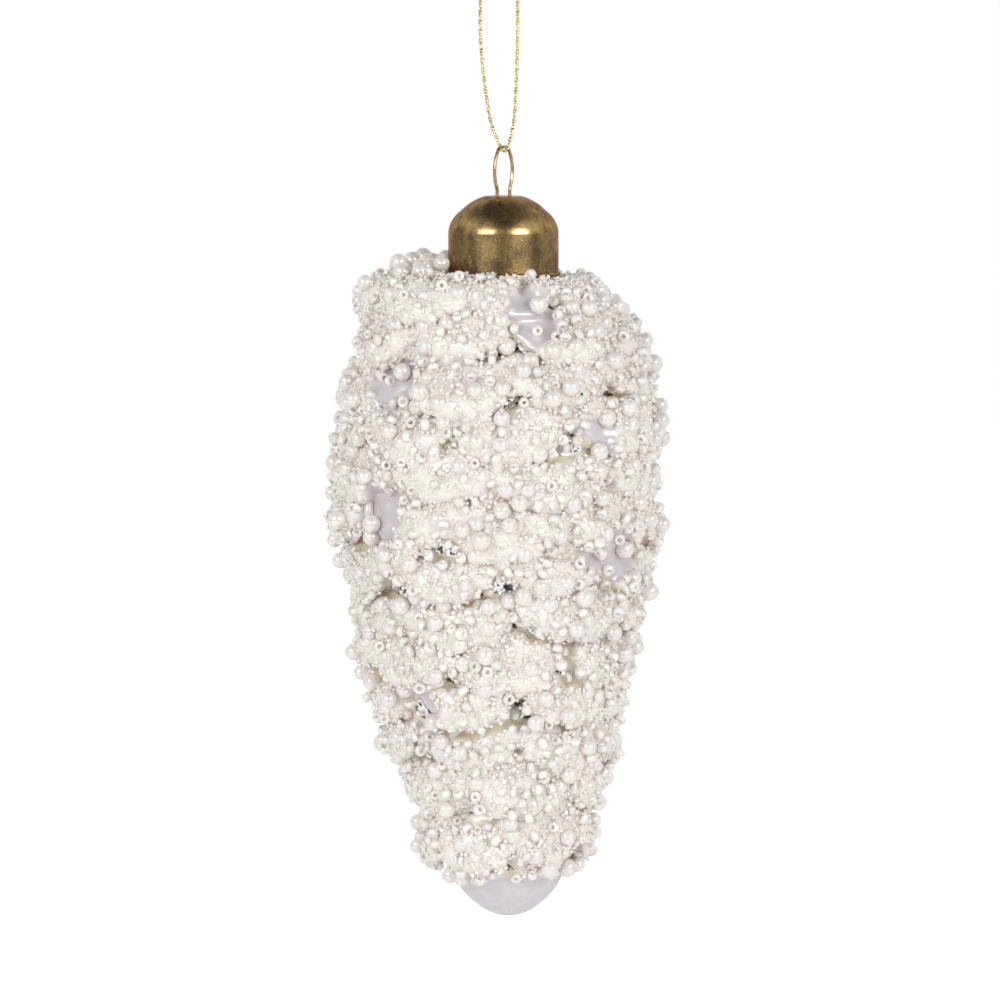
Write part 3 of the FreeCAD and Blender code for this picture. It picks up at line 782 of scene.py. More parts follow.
@dataclass(frozen=True)
class PaleFloor:
    """The studio floor, which glows a little so that it stays white.

    Attributes:
        tone: The floor's colour.
        glow: How bright it is by itself.
    """

    tone: tuple = (0.95, 0.95, 0.95)
    glow: float = 0.15

    def build(self) -> bpy.types.Material:
        """Make the material.

        Returns:
            The material.
        """
        g = Graph("pale_floor")
        seen = g.add("ShaderNodeLightPath").outputs["Is Camera Ray"]
        shader = g.surface(
            Base_Color=self.tone,
            Roughness=0.9,
            Emission_Color=(1.0, 1.0, 1.0),
            Emission_Strength=g.between(seen, 0.0, 1.0, self.glow, 1.0),
        )
        return g.done(shader)


# --------------------------------------------------------------------------------- glass body


@dataclass(frozen=True)
class BarePatch:
    """A patch of glass that the beads leave bare.

    Attributes:
        turn: Degrees round from the front, towards the right.
        height: Height in metres.
        wide: Half width in metres.
        tall: Half height in metres.
    """

    turn: float
    height: float
    wide: float
    tall: float


@dataclass
class GlassBody:
    """The blown body and what its surface tells the crust.

    Attributes:
        patches: Bare patches.
        kept: Share of the CAD mesh's triangles that the shell keeps.
        tip_height: Below this the glass is bare.
        neck_height: Above this the glass is bare.
        smoothing: Rounds of smoothing that the folds are measured against.
        fold_depth: Depth in metres that counts as a full fold.
        spread: Rounds by which folds and crests are widened.
        spread_gain: Gain after widening.
        coat: Mean thickness of the adhesive coat.
        lumps: Scale in cells per metre and share of the coat's lumps.
        grains: The same of its grains.
        regions: Scale of the regions whose folds were left open.
        top_height: Above this there is no adhesive.
        ragged: Scale and share of the ragged edges of the bare patches.
    """

    patches: tuple = (
        BarePatch(13.0, -0.0595, 0.0048, 0.0050),
        BarePatch(-50.0, -0.0711, 0.0056, 0.0048),
        BarePatch(-52.0, -0.0939, 0.0048, 0.0055),
        BarePatch(52.0, -0.1010, 0.0070, 0.0045),
        BarePatch(-44.0, -0.1270, 0.0042, 0.0042),
        BarePatch(38.0, -0.0795, 0.0036, 0.0030),
        BarePatch(150.0, -0.0900, 0.0050, 0.0040),
        BarePatch(-150.0, -0.1150, 0.0045, 0.0040),
        BarePatch(110.0, -0.0700, 0.0040, 0.0040),
    )
    kept: float = 0.72
    tip_height: float = -0.1565
    neck_height: float = -0.0532
    smoothing: int = 26
    fold_depth: float = 0.75 * MM
    spread: int = 12
    spread_gain: float = 2.6
    coat: float = 1.90 * MM
    lumps: tuple = (520.0, 0.4)
    grains: tuple = (1500.0, 0.2)
    regions: float = 75.0
    top_height: float = -0.0546
    ragged: tuple = (380.0, 0.30)

    def build(self) -> bpy.types.Object:
        """Make the glass piece with its fold and bareness attributes.

        Returns:
            The glass object.
        """
        mesh = thinned(merged_mesh("glass_body"), self.kept)
        self.places = rows(mesh, "co")
        self.normals = rows(mesh, "normal")
        self.measure_folds(mesh)
        self.bare = np.array([self.bareness(p) for p in self.places])
        self.opened = self.open_share()
        for name in ("fold", "bare", "opened"):
            float_attribute(mesh, name, getattr(self, name))
        self.triangles = np.array([tuple(p.vertices) for p in mesh.polygons])
        coated = self.places + self.normals * self.coat_thickness()[:, None]
        mesh.vertices.foreach_set("co", coated.astype(np.float32).ravel())
        mesh.update()
        piece = new_object("glass_shell", mesh)
        piece.data.materials.clear()
        piece.data.materials.append(SilveredGlass().build())
        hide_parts("glass_body")
        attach(piece, Body.GLASS.value)
        LOG.info("glass shell: %d triangles", len(mesh.polygons))
        return piece

    def averaged(self, values: np.ndarray, rounds: int) -> np.ndarray:
        """Spread values along the mesh's edges.

        Args:
            values: One row for each point.
            rounds: How often each point moves towards its neighbours' mean.

        Returns:
            The smoothed rows.
        """
        smooth = values.copy()
        first, last = self.ends[:, 0], self.ends[:, 1]
        for _ in range(rounds):
            total = np.stack(
                [
                    np.bincount(first, smooth[last, k], len(smooth))
                    + np.bincount(last, smooth[first, k], len(smooth))
                    for k in range(smooth.shape[1])
                ],
                1,
            )
            smooth = 0.4 * smooth + 0.6 * total / self.valence
        return smooth

    def measure_folds(self, mesh: bpy.types.Mesh) -> None:
        """Measure for each point how deep it lies in a fold or how high on a crest, 0 to 1.

        Args:
            mesh: The welded glass mesh.
        """
        ends = np.empty(len(mesh.edges) * 2, np.int32)
        mesh.edges.foreach_get("vertices", ends)
        self.ends = ends.reshape(-1, 2)
        count = np.bincount(ends, minlength=len(self.places)).astype(float)
        self.valence = np.maximum(count, 1.0)[:, None]
        smooth = self.averaged(self.places, self.smoothing)
        depth = ((smooth - self.places) * self.normals).sum(1) / self.fold_depth
        both = np.stack([np.clip(depth, 0.0, 1.0), np.clip(-depth, 0.0, 1.0)], 1)
        wide = np.clip(self.averaged(both, self.spread) * self.spread_gain, 0.0, 1.0)
        self.fold, self.crest = wide[:, 0], wide[:, 1]

    @staticmethod
    def faces_out(places: np.ndarray, normals: np.ndarray) -> np.ndarray:
        """True where a normal looks away from the line inside the glass."""
        heart = np.zeros_like(places)
        heart[:, 2] = np.clip(places[:, 2], *HEART_LINE)
        return ((places - heart) * normals).sum(1) > 0

    def outer_points(self) -> np.ndarray:
        """True for the points on the outer side, below the neck."""
        return self.faces_out(self.places, self.normals) & (self.places[:, 2] < self.top_height)

    def open_share(self) -> np.ndarray:
        """How far each point's fold was left open by the beads, from 0 to 1."""
        share = np.clip((self.fold - 0.10) / 0.20, 0.0, 1.0)
        region = np.clip(noises(self.places, self.regions) / 0.16 + 0.65, 0.0, 1.0)
        return share * region * self.outer_points()

    def coat_thickness(self) -> np.ndarray:
        """Thickness of the adhesive at each point."""
        covered = (1.0 - self.bare) * (1.0 - self.opened) * self.outer_points()
        (lump_scale, lump_share), (grain_scale, grain_share) = self.lumps, self.grains
        uneven = 1.0 + lump_share * noises(self.places, lump_scale)
        uneven = uneven + grain_share * noises(self.places, grain_scale)
        return self.coat * covered * uneven

    def bareness(self, place: Place) -> float:
        """How bare the glass is at a point, from 0 to 1."""
        x, y, z = place
        at_tip = (self.tip_height - z) / (1.5 * MM)
        at_neck = (z - self.neck_height) / (0.4 * MM)
        share = min(max(at_tip, at_neck, 0.0), 1.0)
        heading = math.atan2(y, x)
        across = math.hypot(x, y)
        ragged_scale, ragged_share = self.ragged
        ragged = ragged_share * noise.noise(Vector((x, y, z)) * ragged_scale)
        for patch in self.patches:
            turn = heading - FRONT_HEADING - math.radians(patch.turn)
            turn = (turn + math.pi) % FULL_TURN - math.pi
            u = across * turn / patch.wide
            v = (z - patch.height) / patch.tall
            share = max(share, min(max((1.15 + ragged - math.hypot(u, v)) / 0.3, 0.0), 1.0))
        return share

    def outside(self) -> np.ndarray:
        """Numbers of the triangles on the outer side, below the neck."""
        centres = self.places[self.triangles].mean(1)
        outward = self.faces_out(centres, self.normals[self.triangles].mean(1))
        return np.nonzero(outward & (centres[:, 2] < CRUST_TOP))[0]


# -------------------------------------------------------------------------------------- crust


@dataclass(frozen=True)
class BeadShape:
    """Sizes of one kind of bead.

    Attributes:
        radius: Outer radius.
        half_length: Half the length along the bore.
        bore: Radius of the bore.
        segments: Faces round the bead.
    """

    radius: float
    half_length: float
    bore: float
    segments: int


class BeadMaker:
    """Makes one model bead of each kind.

    Attributes:
        shapes: The sizes of each kind.
        dimple: Height of a pearl's bore floor, as a share of its radius.
        pearl_rings: Rings of points on a pearl between its bore's ends.
        seed_rings: Rings of points round a seed bead's section.
        bevel: Size of the bevel at a bugle's ends.
    """

    dimple = 0.80
    pearl_rings = 8
    seed_rings = 6
    bevel = 0.12 * MM
    shapes = {
        BeadKind.PEARL: BeadShape(1.60 * MM, 1.56 * MM, 0.35 * MM, 14),
        BeadKind.SEED: BeadShape(1.06 * MM, 0.72 * MM, 0.30 * MM, 9),
        BeadKind.BUGLE: BeadShape(0.85 * MM, 2.20 * MM, 0.42 * MM, 8),
        BeadKind.MICRO: BeadShape(0.42 * MM, 0.42 * MM, 0.0, 6),
        BeadKind.CRUMB: BeadShape(0.40 * MM, 0.40 * MM, 0.0, 5),
    }

    def build(self, kind: BeadKind) -> bpy.types.Object:
        """One bead about the origin with its bore along Z.

        Args:
            kind: Which bead.

        Returns:
            A hidden object to be instanced.
        """
        shape = self.shapes[kind]
        profile = {
            BeadKind.PEARL: self.pearl,
            BeadKind.SEED: self.seed,
            BeadKind.BUGLE: self.bugle,
            BeadKind.MICRO: self.ball,
            BeadKind.CRUMB: self.shard,
        }[kind](shape)
        closed = kind in (BeadKind.SEED, BeadKind.BUGLE)
        mesh = lathe(kind.value + "_model", profile, shape.segments, closed)
        if kind is BeadKind.CRUMB:
            mesh.polygons.foreach_set("use_smooth", [False] * len(mesh.polygons))
        return new_object(kind.value + "_model", mesh)

    def pearl(self, shape: BeadShape) -> list:
        """Profile of a drilled ball: the dimples at its poles are the ends of the bore."""
        profile = [(0.0, -self.dimple * shape.radius)]
        first = math.asin(shape.bore / shape.radius)
        for number in range(self.pearl_rings):
            angle = first + (math.pi - 2 * first) * number / (self.pearl_rings - 1)
            profile.append((shape.radius * math.sin(angle), -shape.radius * math.cos(angle)))
        profile.append((0.0, self.dimple * shape.radius))
        return profile

    def seed(self, shape: BeadShape) -> list:
        """Profile of a rounded ring, a little flatter on the side of its bore."""
        middle = (shape.radius + shape.bore) / 2
        thick = (shape.radius - shape.bore) / 2
        profile = []
        for number in range(self.seed_rings):
            angle = FULL_TURN * (number + 0.5) / self.seed_rings - math.pi / 2
            swell = 1.0 if math.cos(angle) > 0 else 0.85
            half = swell * shape.half_length * 1.1
            profile.append((middle + thick * math.cos(angle), half * math.sin(angle)))
        return profile

    def bugle(self, shape: BeadShape) -> list:
        """Profile of a short cut tube."""
        r, h, b = shape.radius, shape.half_length, shape.bore
        ease = self.bevel
        return [(b, -h), (r - ease, -h), (r, -h + ease), (r, h - ease), (r - ease, h), (b, h)]

    @staticmethod
    def ball(shape: BeadShape) -> list:
        """Profile of a plain ball."""
        r = shape.radius
        return [(0.0, -r), (0.82 * r, -0.55 * r), (0.82 * r, 0.55 * r), (0.0, r)]

    @staticmethod
    def shard(shape: BeadShape) -> list:
        """Profile of a faceted crumb."""
        r = shape.radius
        return [(0.0, -0.9 * r), (1.0 * r, 0.15 * r), (0.45 * r, 0.85 * r), (0.0, 0.95 * r)]


class BeadSetter:
    """A Geometry Nodes tree that sets a model bead on every point of a mesh.

    Attributes:
        inputs: Names and kinds of the tree's inputs.
        draw: Number that starts the tree's own draw of sizes.
    """

    inputs = (
        ("Geometry", "NodeSocketGeometry"),
        ("Bead", "NodeSocketObject"),
        ("Finish", "NodeSocketMaterial"),
        ("Clear Finish", "NodeSocketMaterial"),
        ("Uneven", "NodeSocketFloat"),
        ("Seed", "NodeSocketInt"),
    )
    draw = 7

    def __init__(self) -> None:
        """Build the tree once."""
        self.tree = bpy.data.node_groups.new("Set beads", "GeometryNodeTree")
        face = self.tree.interface
        for name, kind in self.inputs:
            face.new_socket(name=name, in_out="INPUT", socket_type=kind)
        face.new_socket(name="Geometry", in_out="OUTPUT", socket_type="NodeSocketGeometry")
        self.wire()

    def add(self, kind: str, **settings) -> bpy.types.Node:
        """Add a node with settings."""
        node = self.tree.nodes.new(kind)
        for key, value in settings.items():
            setattr(node, key, value)
        return node

    def read(self, name: str, kind: str) -> bpy.types.NodeSocket:
        """A named attribute of the points, as a socket."""
        node = self.add("GeometryNodeInputNamedAttribute", data_type=kind)
        node.inputs["Name"].default_value = name
        return node.outputs["Attribute"]

    def wire(self) -> None:
        """Join the tree's nodes."""
        link = self.tree.links.new
        given = self.add("NodeGroupInput").outputs
        model = self.add("GeometryNodeObjectInfo")
        link(given["Bead"], model.inputs["Object"])
        turn = self.add("FunctionNodeAlignRotationToVector", axis="Z")
        link(self.read("axis", "FLOAT_VECTOR"), turn.inputs["Vector"])
        uneven = self.add("FunctionNodeRandomValue", data_type="FLOAT_VECTOR")
        for end, operation in enumerate(("SUBTRACT", "ADD")):
            limit = self.add("ShaderNodeMath", operation=operation)
            limit.inputs[0].default_value = 1.0
            link(given["Uneven"], limit.inputs[1])
            link(limit.outputs[0], uneven.inputs[end])
        link(given["Seed"], uneven.inputs["Seed"])
        scaled = self.add("ShaderNodeVectorMath", operation="SCALE")
        link(uneven.outputs[0], scaled.inputs[0])
        link(self.read("size", "FLOAT"), scaled.inputs["Scale"])
        points = self.add("GeometryNodeMeshToPoints")
        link(given["Geometry"], points.inputs["Mesh"])
        place = self.add("GeometryNodeInstanceOnPoints")
        link(points.outputs["Points"], place.inputs["Points"])
        link(model.outputs["Geometry"], place.inputs["Instance"])
        link(turn.outputs["Rotation"], place.inputs["Rotation"])
        link(scaled.outputs[0], place.inputs["Scale"])
        real = self.add("GeometryNodeRealizeInstances")
        link(place.outputs["Instances"], real.inputs["Geometry"])
        first = self.add("GeometryNodeSetMaterial")
        link(real.outputs["Geometry"], first.inputs["Geometry"])
        link(given["Finish"], first.inputs["Material"])
        picked = self.add("FunctionNodeCompare", data_type="FLOAT", operation="GREATER_THAN")
        link(self.read("clear", "FLOAT"), picked.inputs["A"])
        picked.inputs["B"].default_value = 0.5
        second = self.add("GeometryNodeSetMaterial")
        link(first.outputs["Geometry"], second.inputs["Geometry"])
        link(picked.outputs["Result"], second.inputs["Selection"])
        link(given["Clear Finish"], second.inputs["Material"])
        link(second.outputs["Geometry"], self.add("NodeGroupOutput").inputs["Geometry"])

    def socket(self, name: str) -> str:
        """The identifier of one of the tree's inputs."""
        for item in self.tree.interface.items_tree:
            if item.name == name and item.in_out == "INPUT":
                return item.identifier
        raise LookupError(name)

    def set_beads(
        self, name: str, beads: list["Bead"], model: bpy.types.Object, look: "BeadLook"
    ) -> bpy.types.Object:
        """Set a model bead at each bead of a list and return the result as one plain mesh.

        Args:
            name: The piece's name.
            beads: The beads to set.
            model: The model bead's object.
            look: Their finishes and unevenness.

        Returns:
            The finished object.
        """
        mesh = bpy.data.meshes.new(name + "_points")
        mesh.from_pydata([bead.place for bead in beads], [], [])
        vector_attribute(mesh, "axis", [bead.axis for bead in beads])
        vector_attribute(mesh, "centre", [bead.place for bead in beads])
        float_attribute(mesh, "size", [bead.size for bead in beads])
        float_attribute(mesh, "tint", [bead.tint for bead in beads])
        float_attribute(mesh, "clear", [1.0 if bead.clear else 0.0 for bead in beads])
        holder = new_object(name + "_points", mesh)
        modifier = holder.modifiers.new("set beads", "NODES")
        modifier.node_group = self.tree
        for key, value in (
            ("Bead", model),
            ("Finish", look.finish),
            ("Clear Finish", look.clear_finish),
            ("Uneven", look.uneven),
            ("Seed", self.draw),
        ):
            modifier[self.socket(key)] = value
        graph = bpy.context.evaluated_depsgraph_get()
        result = bpy.data.meshes.new_from_object(holder.evaluated_get(graph))
        bpy.data.objects.remove(holder)
        result.name = name
        result.polygons.foreach_set("use_smooth", [not look.cut] * len(result.polygons))
        return new_object(name, result)


@dataclass(frozen=True)
class BeadLook:
    """How the beads of one kind look.

    Attributes:
        finish: Their material.
        clear_finish: The material of those that are marked clear.
        uneven: Largest change of size along each side, as a share.
        slot: Their material slot; not used.
        cut: Whether they have flat facets.
    """

    finish: bpy.types.Material
    clear_finish: bpy.types.Material
    uneven: float
    slot: Slot
    cut: bool = False


@dataclass
class Bead:
    """One bead of the crust.

    Attributes:
        place: Its centre.
        axis: Direction of its bore.
        size: Its scale.
        tint: Where its colour lies between its kind's two.
        clear: Whether it takes the clear finish.
    """

    place: tuple
    axis: tuple
    size: float = 1.0
    tint: float = 0.5
    clear: bool = False


@dataclass(frozen=True)
class Stretch:
    """A part of the glass, by heading and height.

    Attributes:
        heading: Its middle, in degrees about the axis.
        wide: Half its width in degrees.
        lowest: Its lower edge in metres.
        nearest: Its inner edge, from the axis.
        farthest: Its outer edge, from the axis.
    """

    heading: float
    wide: float
    lowest: float
    nearest: float
    farthest: float

    def holds(self, place: Place) -> bool:
        """Is a place in this part?"""
        turn = math.degrees(math.atan2(place[1], place[0])) - self.heading
        turn = (turn + 180.0) % 360.0 - 180.0
        reach = math.hypot(place[0], place[1])
        level = place[2] > self.lowest and self.nearest < reach < self.farthest
        return abs(turn) < self.wide and level


@dataclass(frozen=True)
class Lot:
    """One lot of loose beads and how it is placed.

    Attributes:
        kind: Which bead.
        count: The most to place.
        tries: How many chance points to try.
        lift: Lowest and highest distance of a bead's centre from the glass.
        squeeze: Share of the radii that neighbours keep away.
        heap: Whether they keep to the crests, on top of other beads.
        stretch: The part of the glass that they keep to.
    """

    kind: BeadKind
    count: int
    tries: int
    lift: tuple
    squeeze: float
    heap: bool = False
    stretch: Stretch | None = None


class Room:
    """Keeps the balls that are taken, in a grid, and tells whether a new one fits."""

    def __init__(self, cell: float) -> None:
        """Start empty.

        Args:
            cell: Size of a grid cell, at least the largest sum of two radii.
        """
        self.cell = cell
        self.taken: dict[tuple, list] = {}

    def key(self, place: Place) -> tuple:
        """The grid cell of a place."""
        return tuple(int(math.floor(c / self.cell)) for c in place)

    def add(self, place: Place, radius: float) -> None:
        """Take the room of a ball."""
        self.taken.setdefault(self.key(place), []).append((*place, radius))

    def fits(self, place: Place, radius: float, squeeze: float) -> bool:
        """Would a ball fit here?

        Args:
            place: The ball's centre.
            radius: Its radius.
            squeeze: Share of the two radii that it keeps away.

        Returns:
            True if it touches none of the balls placed so far.
        """
        x, y, z = place
        i, j, k = self.key(place)
        for a in (i - 1, i, i + 1):
            for b in (j - 1, j, j + 1):
                for c in (k - 1, k, k + 1):
                    for ox, oy, oz, other in self.taken.get((a, b, c), ()):
                        away = (radius + other) * squeeze
                        if (x - ox) ** 2 + (y - oy) ** 2 + (z - oz) ** 2 < away * away:
                            return False
        return True


@dataclass
class Crust:
    """Everything that is glued on the glass.

    Attributes:
        glass: The glass under it.
        cap_room: Radius about the axis that stays free beside the cap.
        spare: How far the crust may pass the CAD model's box.
        shoulder_pile: Where pearls are piled beside the cap.
        collar: The ring of glass round the cap, with only tiny beads.
        pile: The pearls that are piled beside the cap.
        more_seeds: Seed beads between those of the CAD model.
        high_pearls: Pearls that lie on other beads.
        high_seeds: Seed beads that lie on other beads.
        micros: Tiny round beads.
        ring: The tiny beads round the cap.
        crumbs: Faceted glass crumbs.
        heap_limit: Range of the crest that a bead on top asks for.
        bare_limit: Range of the bareness that a bead bears.
        open_limit: Range of the fold's openness that a bead bears.
        sizes: Smallest and largest scale of pearls and seed beads.
        small_sizes: The same of the tiny beads and crumbs.
        lying: Share of the seed beads that lie on their side.
        tilt: How far those lean.
        clear_share: Share of the loose beads that are clear.
        model_clear_share: The same of the CAD model's beads.
        bugle_steps: Where balls along a bugle take its room, in half lengths.
    """

    glass: GlassBody
    cap_room: float = 10.6 * MM
    spare: float = 1.0 * MM
    shoulder_pile: Stretch = Stretch(118.0, 40.0, -0.0575, 0.0128, 0.0180)
    collar: Stretch = Stretch(0.0, 180.0, -0.0570, 0.0108, 0.0148)
    pile: Lot = Lot(
        BeadKind.PEARL, 22, 60000, (1.6 * MM, 4.0 * MM), 0.90, stretch=shoulder_pile
    )
    more_seeds: Lot = Lot(BeadKind.SEED, 2600, 60000, (1.1 * MM, 1.7 * MM), 0.90)
    high_pearls: Lot = Lot(BeadKind.PEARL, 150, 9000, (2.2 * MM, 3.0 * MM), 0.88, heap=True)
    high_seeds: Lot = Lot(BeadKind.SEED, 700, 26000, (1.9 * MM, 2.9 * MM), 0.84, heap=True)
    micros: Lot = Lot(BeadKind.MICRO, 8500, 90000, (1.3 * MM, 2.4 * MM), 0.80)
    ring: Lot = Lot(BeadKind.MICRO, 1400, 200000, (0.0, 0.5 * MM), 0.62, stretch=collar)
    crumbs: Lot = Lot(BeadKind.CRUMB, 7000, 90000, (1.3 * MM, 2.5 * MM), 0.74)
    heap_limit: tuple = (0.0, 0.5)
    bare_limit: tuple = (0.15, 0.5)
    open_limit: tuple = (0.15, 0.45)
    sizes: tuple = (0.86, 1.08)
    small_sizes: tuple = (0.55, 1.35)
    lying: float = 0.7
    tilt: float = 0.35
    clear_share: float = 0.30
    model_clear_share: float = 0.25
    bugle_steps: tuple = (-0.8, 0.0, 0.8)

    def __post_init__(self) -> None:
        """Prepare the room, the draw of chances and the samples of the surface."""
        self.chance = random.Random(41)
        self.room = Room(3.4 * MM)
        self.setter = BeadSetter()
        self.maker = BeadMaker()
        self.bands = self.band_edges()
        self.draw = np.random.default_rng(17)
        self.faces = self.glass.outside()
        corners = self.glass.places[self.glass.triangles[self.faces]]
        across = np.cross(corners[:, 1] - corners[:, 0], corners[:, 2] - corners[:, 0])
        self.areas = np.linalg.norm(across, axis=1) / 2

    @staticmethod
    def band_edges() -> list:
        """Lower edges of the bands of beads, from the CAD nodes of the pearls."""
        edges = []
        for number in range(1, TIERS):
            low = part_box("pearls_tier_%d" % number)[0].z
            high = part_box("pearls_tier_%d" % (number + 1))[1].z
            edges.append((low + high) / 2)
        return edges

    def band(self, height: float) -> int:
        """The band that a height lies in, counted from 0 at the top."""
        return sum(1 for edge in self.bands if height < edge)

    def modelled(self, node: str) -> list:
        """Centres and axes of the separate beads of a CAD node.

        Args:
            node: The node's name.

        Returns:
            Pairs of centre and axis.
        """
        work = welded(node)
        seen = set()
        found = []
        for start in work.verts:
            if start in seen:
                continue
            group = []
            stack = [start]
            seen.add(start)
            while stack:
                vert = stack.pop()
                group.append(vert.co[:])
                for edge in vert.link_edges:
                    other = edge.other_vert(vert)
                    if other not in seen:
                        seen.add(other)
                        stack.append(other)
            places = np.array(group)
            centre = (places.min(0) + places.max(0)) / 2
            values, vectors = np.linalg.eigh(np.cov((places - centre).T))
            pick = 2 if values[2] - values[1] > values[1] - values[0] else 0
            found.append((tuple(centre), tuple(vectors[:, pick])))
        work.free()
        return found

    def samples(self, count: int) -> tuple:
        """Chance points on the outside of the glass.

        Args:
            count: How many.

        Returns:
            Arrays of places, normals, openness of the folds, bareness and crests.
        """
        picks = self.draw.choice(len(self.faces), count, p=self.areas / self.areas.sum())
        corners = self.glass.triangles[self.faces[picks]]
        a = np.sqrt(self.draw.random(count))
        b = self.draw.random(count)
        weights = np.stack([1 - a, a * (1 - b), a * b], 1)
        places = (self.glass.places[corners] * weights[..., None]).sum(1)
        normals = (self.glass.normals[corners] * weights[..., None]).sum(1)
        normals /= np.linalg.norm(normals, axis=1)[:, None] + 1e-12
        shares = [
            (values[corners] * weights).sum(1)
            for values in (self.glass.opened, self.glass.bare, self.glass.crest)
        ]
        return places, normals, *shares

    def scatter(self, lot: Lot) -> list:
        """Place a lot of loose beads where there is room.

        Args:
            lot: The lot.

        Returns:
            One list of beads for each band.
        """
        shape = self.maker.shapes[lot.kind]
        room = self.cap_room if lot.stretch else self.collar.farthest
        bands = [[] for _ in range(TIERS)]
        placed = 0
        for place, normal, opened, bare, crest in zip(*self.samples(lot.tries)):
            if placed >= lot.count:
                break
            if lot.stretch and not lot.stretch.holds(place):
                continue
            if lot.heap and crest < self.chance.uniform(*self.heap_limit):
                continue
            if bare > self.chance.uniform(*self.bare_limit):
                continue
            if opened > self.chance.uniform(*self.open_limit):
                continue
            size = self.chance.uniform(*self.sizes)
            if lot.kind in (BeadKind.MICRO, BeadKind.CRUMB):
                size = self.chance.uniform(*self.small_sizes)
            radius = shape.radius * size
            centre = place + normal * self.chance.uniform(*lot.lift)
            if centre[2] + radius > CAP_RIM and math.hypot(centre[0], centre[1]) - radius < room:
                continue
            if not self.room.fits(centre, radius, lot.squeeze):
                continue
            self.room.add(centre, radius)
            bead = self.loose_bead(lot.kind, centre, normal, size)
            if self.inside_box(centre, radius):
                bands[self.band(centre[2])].append(bead)
                placed += 1
        return bands

    def loose_bead(
        self, kind: BeadKind, centre: np.ndarray, normal: np.ndarray, size: float
    ) -> Bead:
        """A bead with a chance axis, tint and clearness.

        Args:
            kind: Which bead.
            centre: Its centre.
            normal: The glass's normal under it.
            size: Its scale.

        Returns:
            The bead.
        """
        axis = np.array([self.chance.gauss(0, 1) for _ in range(3)])
        if kind is BeadKind.SEED and self.chance.random() < self.lying:
            axis = np.cross(axis, normal) + normal * self.chance.gauss(0, self.tilt)
        axis /= np.linalg.norm(axis)
        tint = self.chance.random()
        clear = self.chance.random() < self.clear_share
        return Bead(tuple(centre), tuple(axis), size, tint, clear)

    def inside_box(self, place: Place, radius: float) -> bool:
        """Does a bead stay near enough to the CAD model's box?"""
        return all(
            low - self.spare < centre - radius and centre + radius < high + self.spare
            for low, centre, high in zip(CAD_BOX[0], place, CAD_BOX[1])
        )

    def finish_piece(self, piece: bpy.types.Object, nodes: tuple) -> None:
        """Ride and replace for a piece of the crust.

        Args:
            piece: The piece.
            nodes: The CAD nodes that it stands for.
        """
        if nodes:
            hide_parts(*nodes)
        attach(piece, Body.GLASS.value)
        LOG.info("%s: %d faces", piece.name, len(piece.data.polygons))

    def build(self) -> list:
        """Make every bead of the crust.

        Returns:
            The pieces.
        """
        looks = self.looks()
        models = {kind: self.maker.build(kind) for kind in BeadKind}
        pearls = []
        seeds = []
        for number in range(1, TIERS + 1):
            pearls.append(self.from_model("pearls_tier_%d" % number, BeadKind.PEARL))
            seeds.append(self.from_model("seed_beads_tier_%d" % number, BeadKind.SEED))
        bugles = self.from_model("bugle_beads", BeadKind.BUGLE)
        pile, more, high, piled, micros, ring, crumbs = (
            self.scatter(lot)
            for lot in (
                self.pile,
                self.more_seeds,
                self.high_pearls,
                self.high_seeds,
                self.micros,
                self.ring,
                self.crumbs,
            )
        )
        layers = (
            (BeadKind.PEARL, "pearls_%d", "pearls_tier_%d", (pearls, pile, high)),
            (BeadKind.SEED, "seed_beads_%d", "seed_beads_tier_%d", (seeds, more, piled)),
            (BeadKind.MICRO, "micro_beads_%d", None, (micros, ring)),
            (BeadKind.CRUMB, "glass_crumbs_%d", None, (crumbs,)),
        )
        lots = [
            (
                kind,
                name % (number + 1),
                (node % (number + 1),) if node else (),
                [bead for lot in each for bead in lot[number]],
            )
            for number in range(TIERS)
            for kind, name, node, each in layers
        ]
        lots.append((BeadKind.BUGLE, "bugles", ("bugle_beads",), bugles))
        pieces = []
        for kind, name, nodes, beads in lots:
            piece = self.setter.set_beads(name, beads, models[kind], looks[kind])
            self.finish_piece(piece, nodes)
            pieces.append(piece)
        for model in models.values():
            bpy.data.objects.remove(model)
        return pieces

    @staticmethod
    def looks() -> dict:
        """The look of each kind of bead."""
        warm, cool = (0.96, 0.90, 0.845), (0.96, 0.915, 0.888)
        clear_warm, clear_cool = (0.968, 0.915, 0.872), (0.968, 0.93, 0.905)
        pearl = PearlCoat().build()
        milky = BeadGlass("milky_glass", warm, cool, 0.0, 0.16).build()
        clear = BeadGlass("clear_glass", clear_warm, clear_cool, 0.10, 0.05).build()
        tiny = BeadGlass("tiny_balls", warm, cool, 0.0, 0.10, ball=True).build()
        return {
            BeadKind.PEARL: BeadLook(pearl, pearl, 0.03, Slot.PEARL),
            BeadKind.BUGLE: BeadLook(milky, clear, 0.05, Slot.BUGLE),
            BeadKind.SEED: BeadLook(milky, clear, 0.07, Slot.SEED),
            BeadKind.MICRO: BeadLook(tiny, tiny, 0.1, Slot.SEED),
            BeadKind.CRUMB: BeadLook(milky, clear, 0.4, Slot.SEED, cut=True),
        }

    def from_model(self, node: str, kind: BeadKind) -> list:
        """Beads where a CAD node has them, with their room taken.

        Args:
            node: The node's name.
            kind: The kind of bead in it.

        Returns:
            The beads.
        """
        shape = self.maker.shapes[kind]
        beads = []
        for centre, axis in self.modelled(node):
            tint = self.chance.random()
            clear = self.chance.random() < self.model_clear_share
            beads.append(Bead(centre, axis, 1.0, tint, clear))
            if kind is BeadKind.BUGLE:
                for step in self.bugle_steps:
                    spot = np.array(centre) + np.array(axis) * step * shape.half_length
                    self.room.add(tuple(spot), shape.radius)
            else:
                self.room.add(centre, shape.radius)
        return beads


# ------------------------------------------------------------------------------ cap and wire


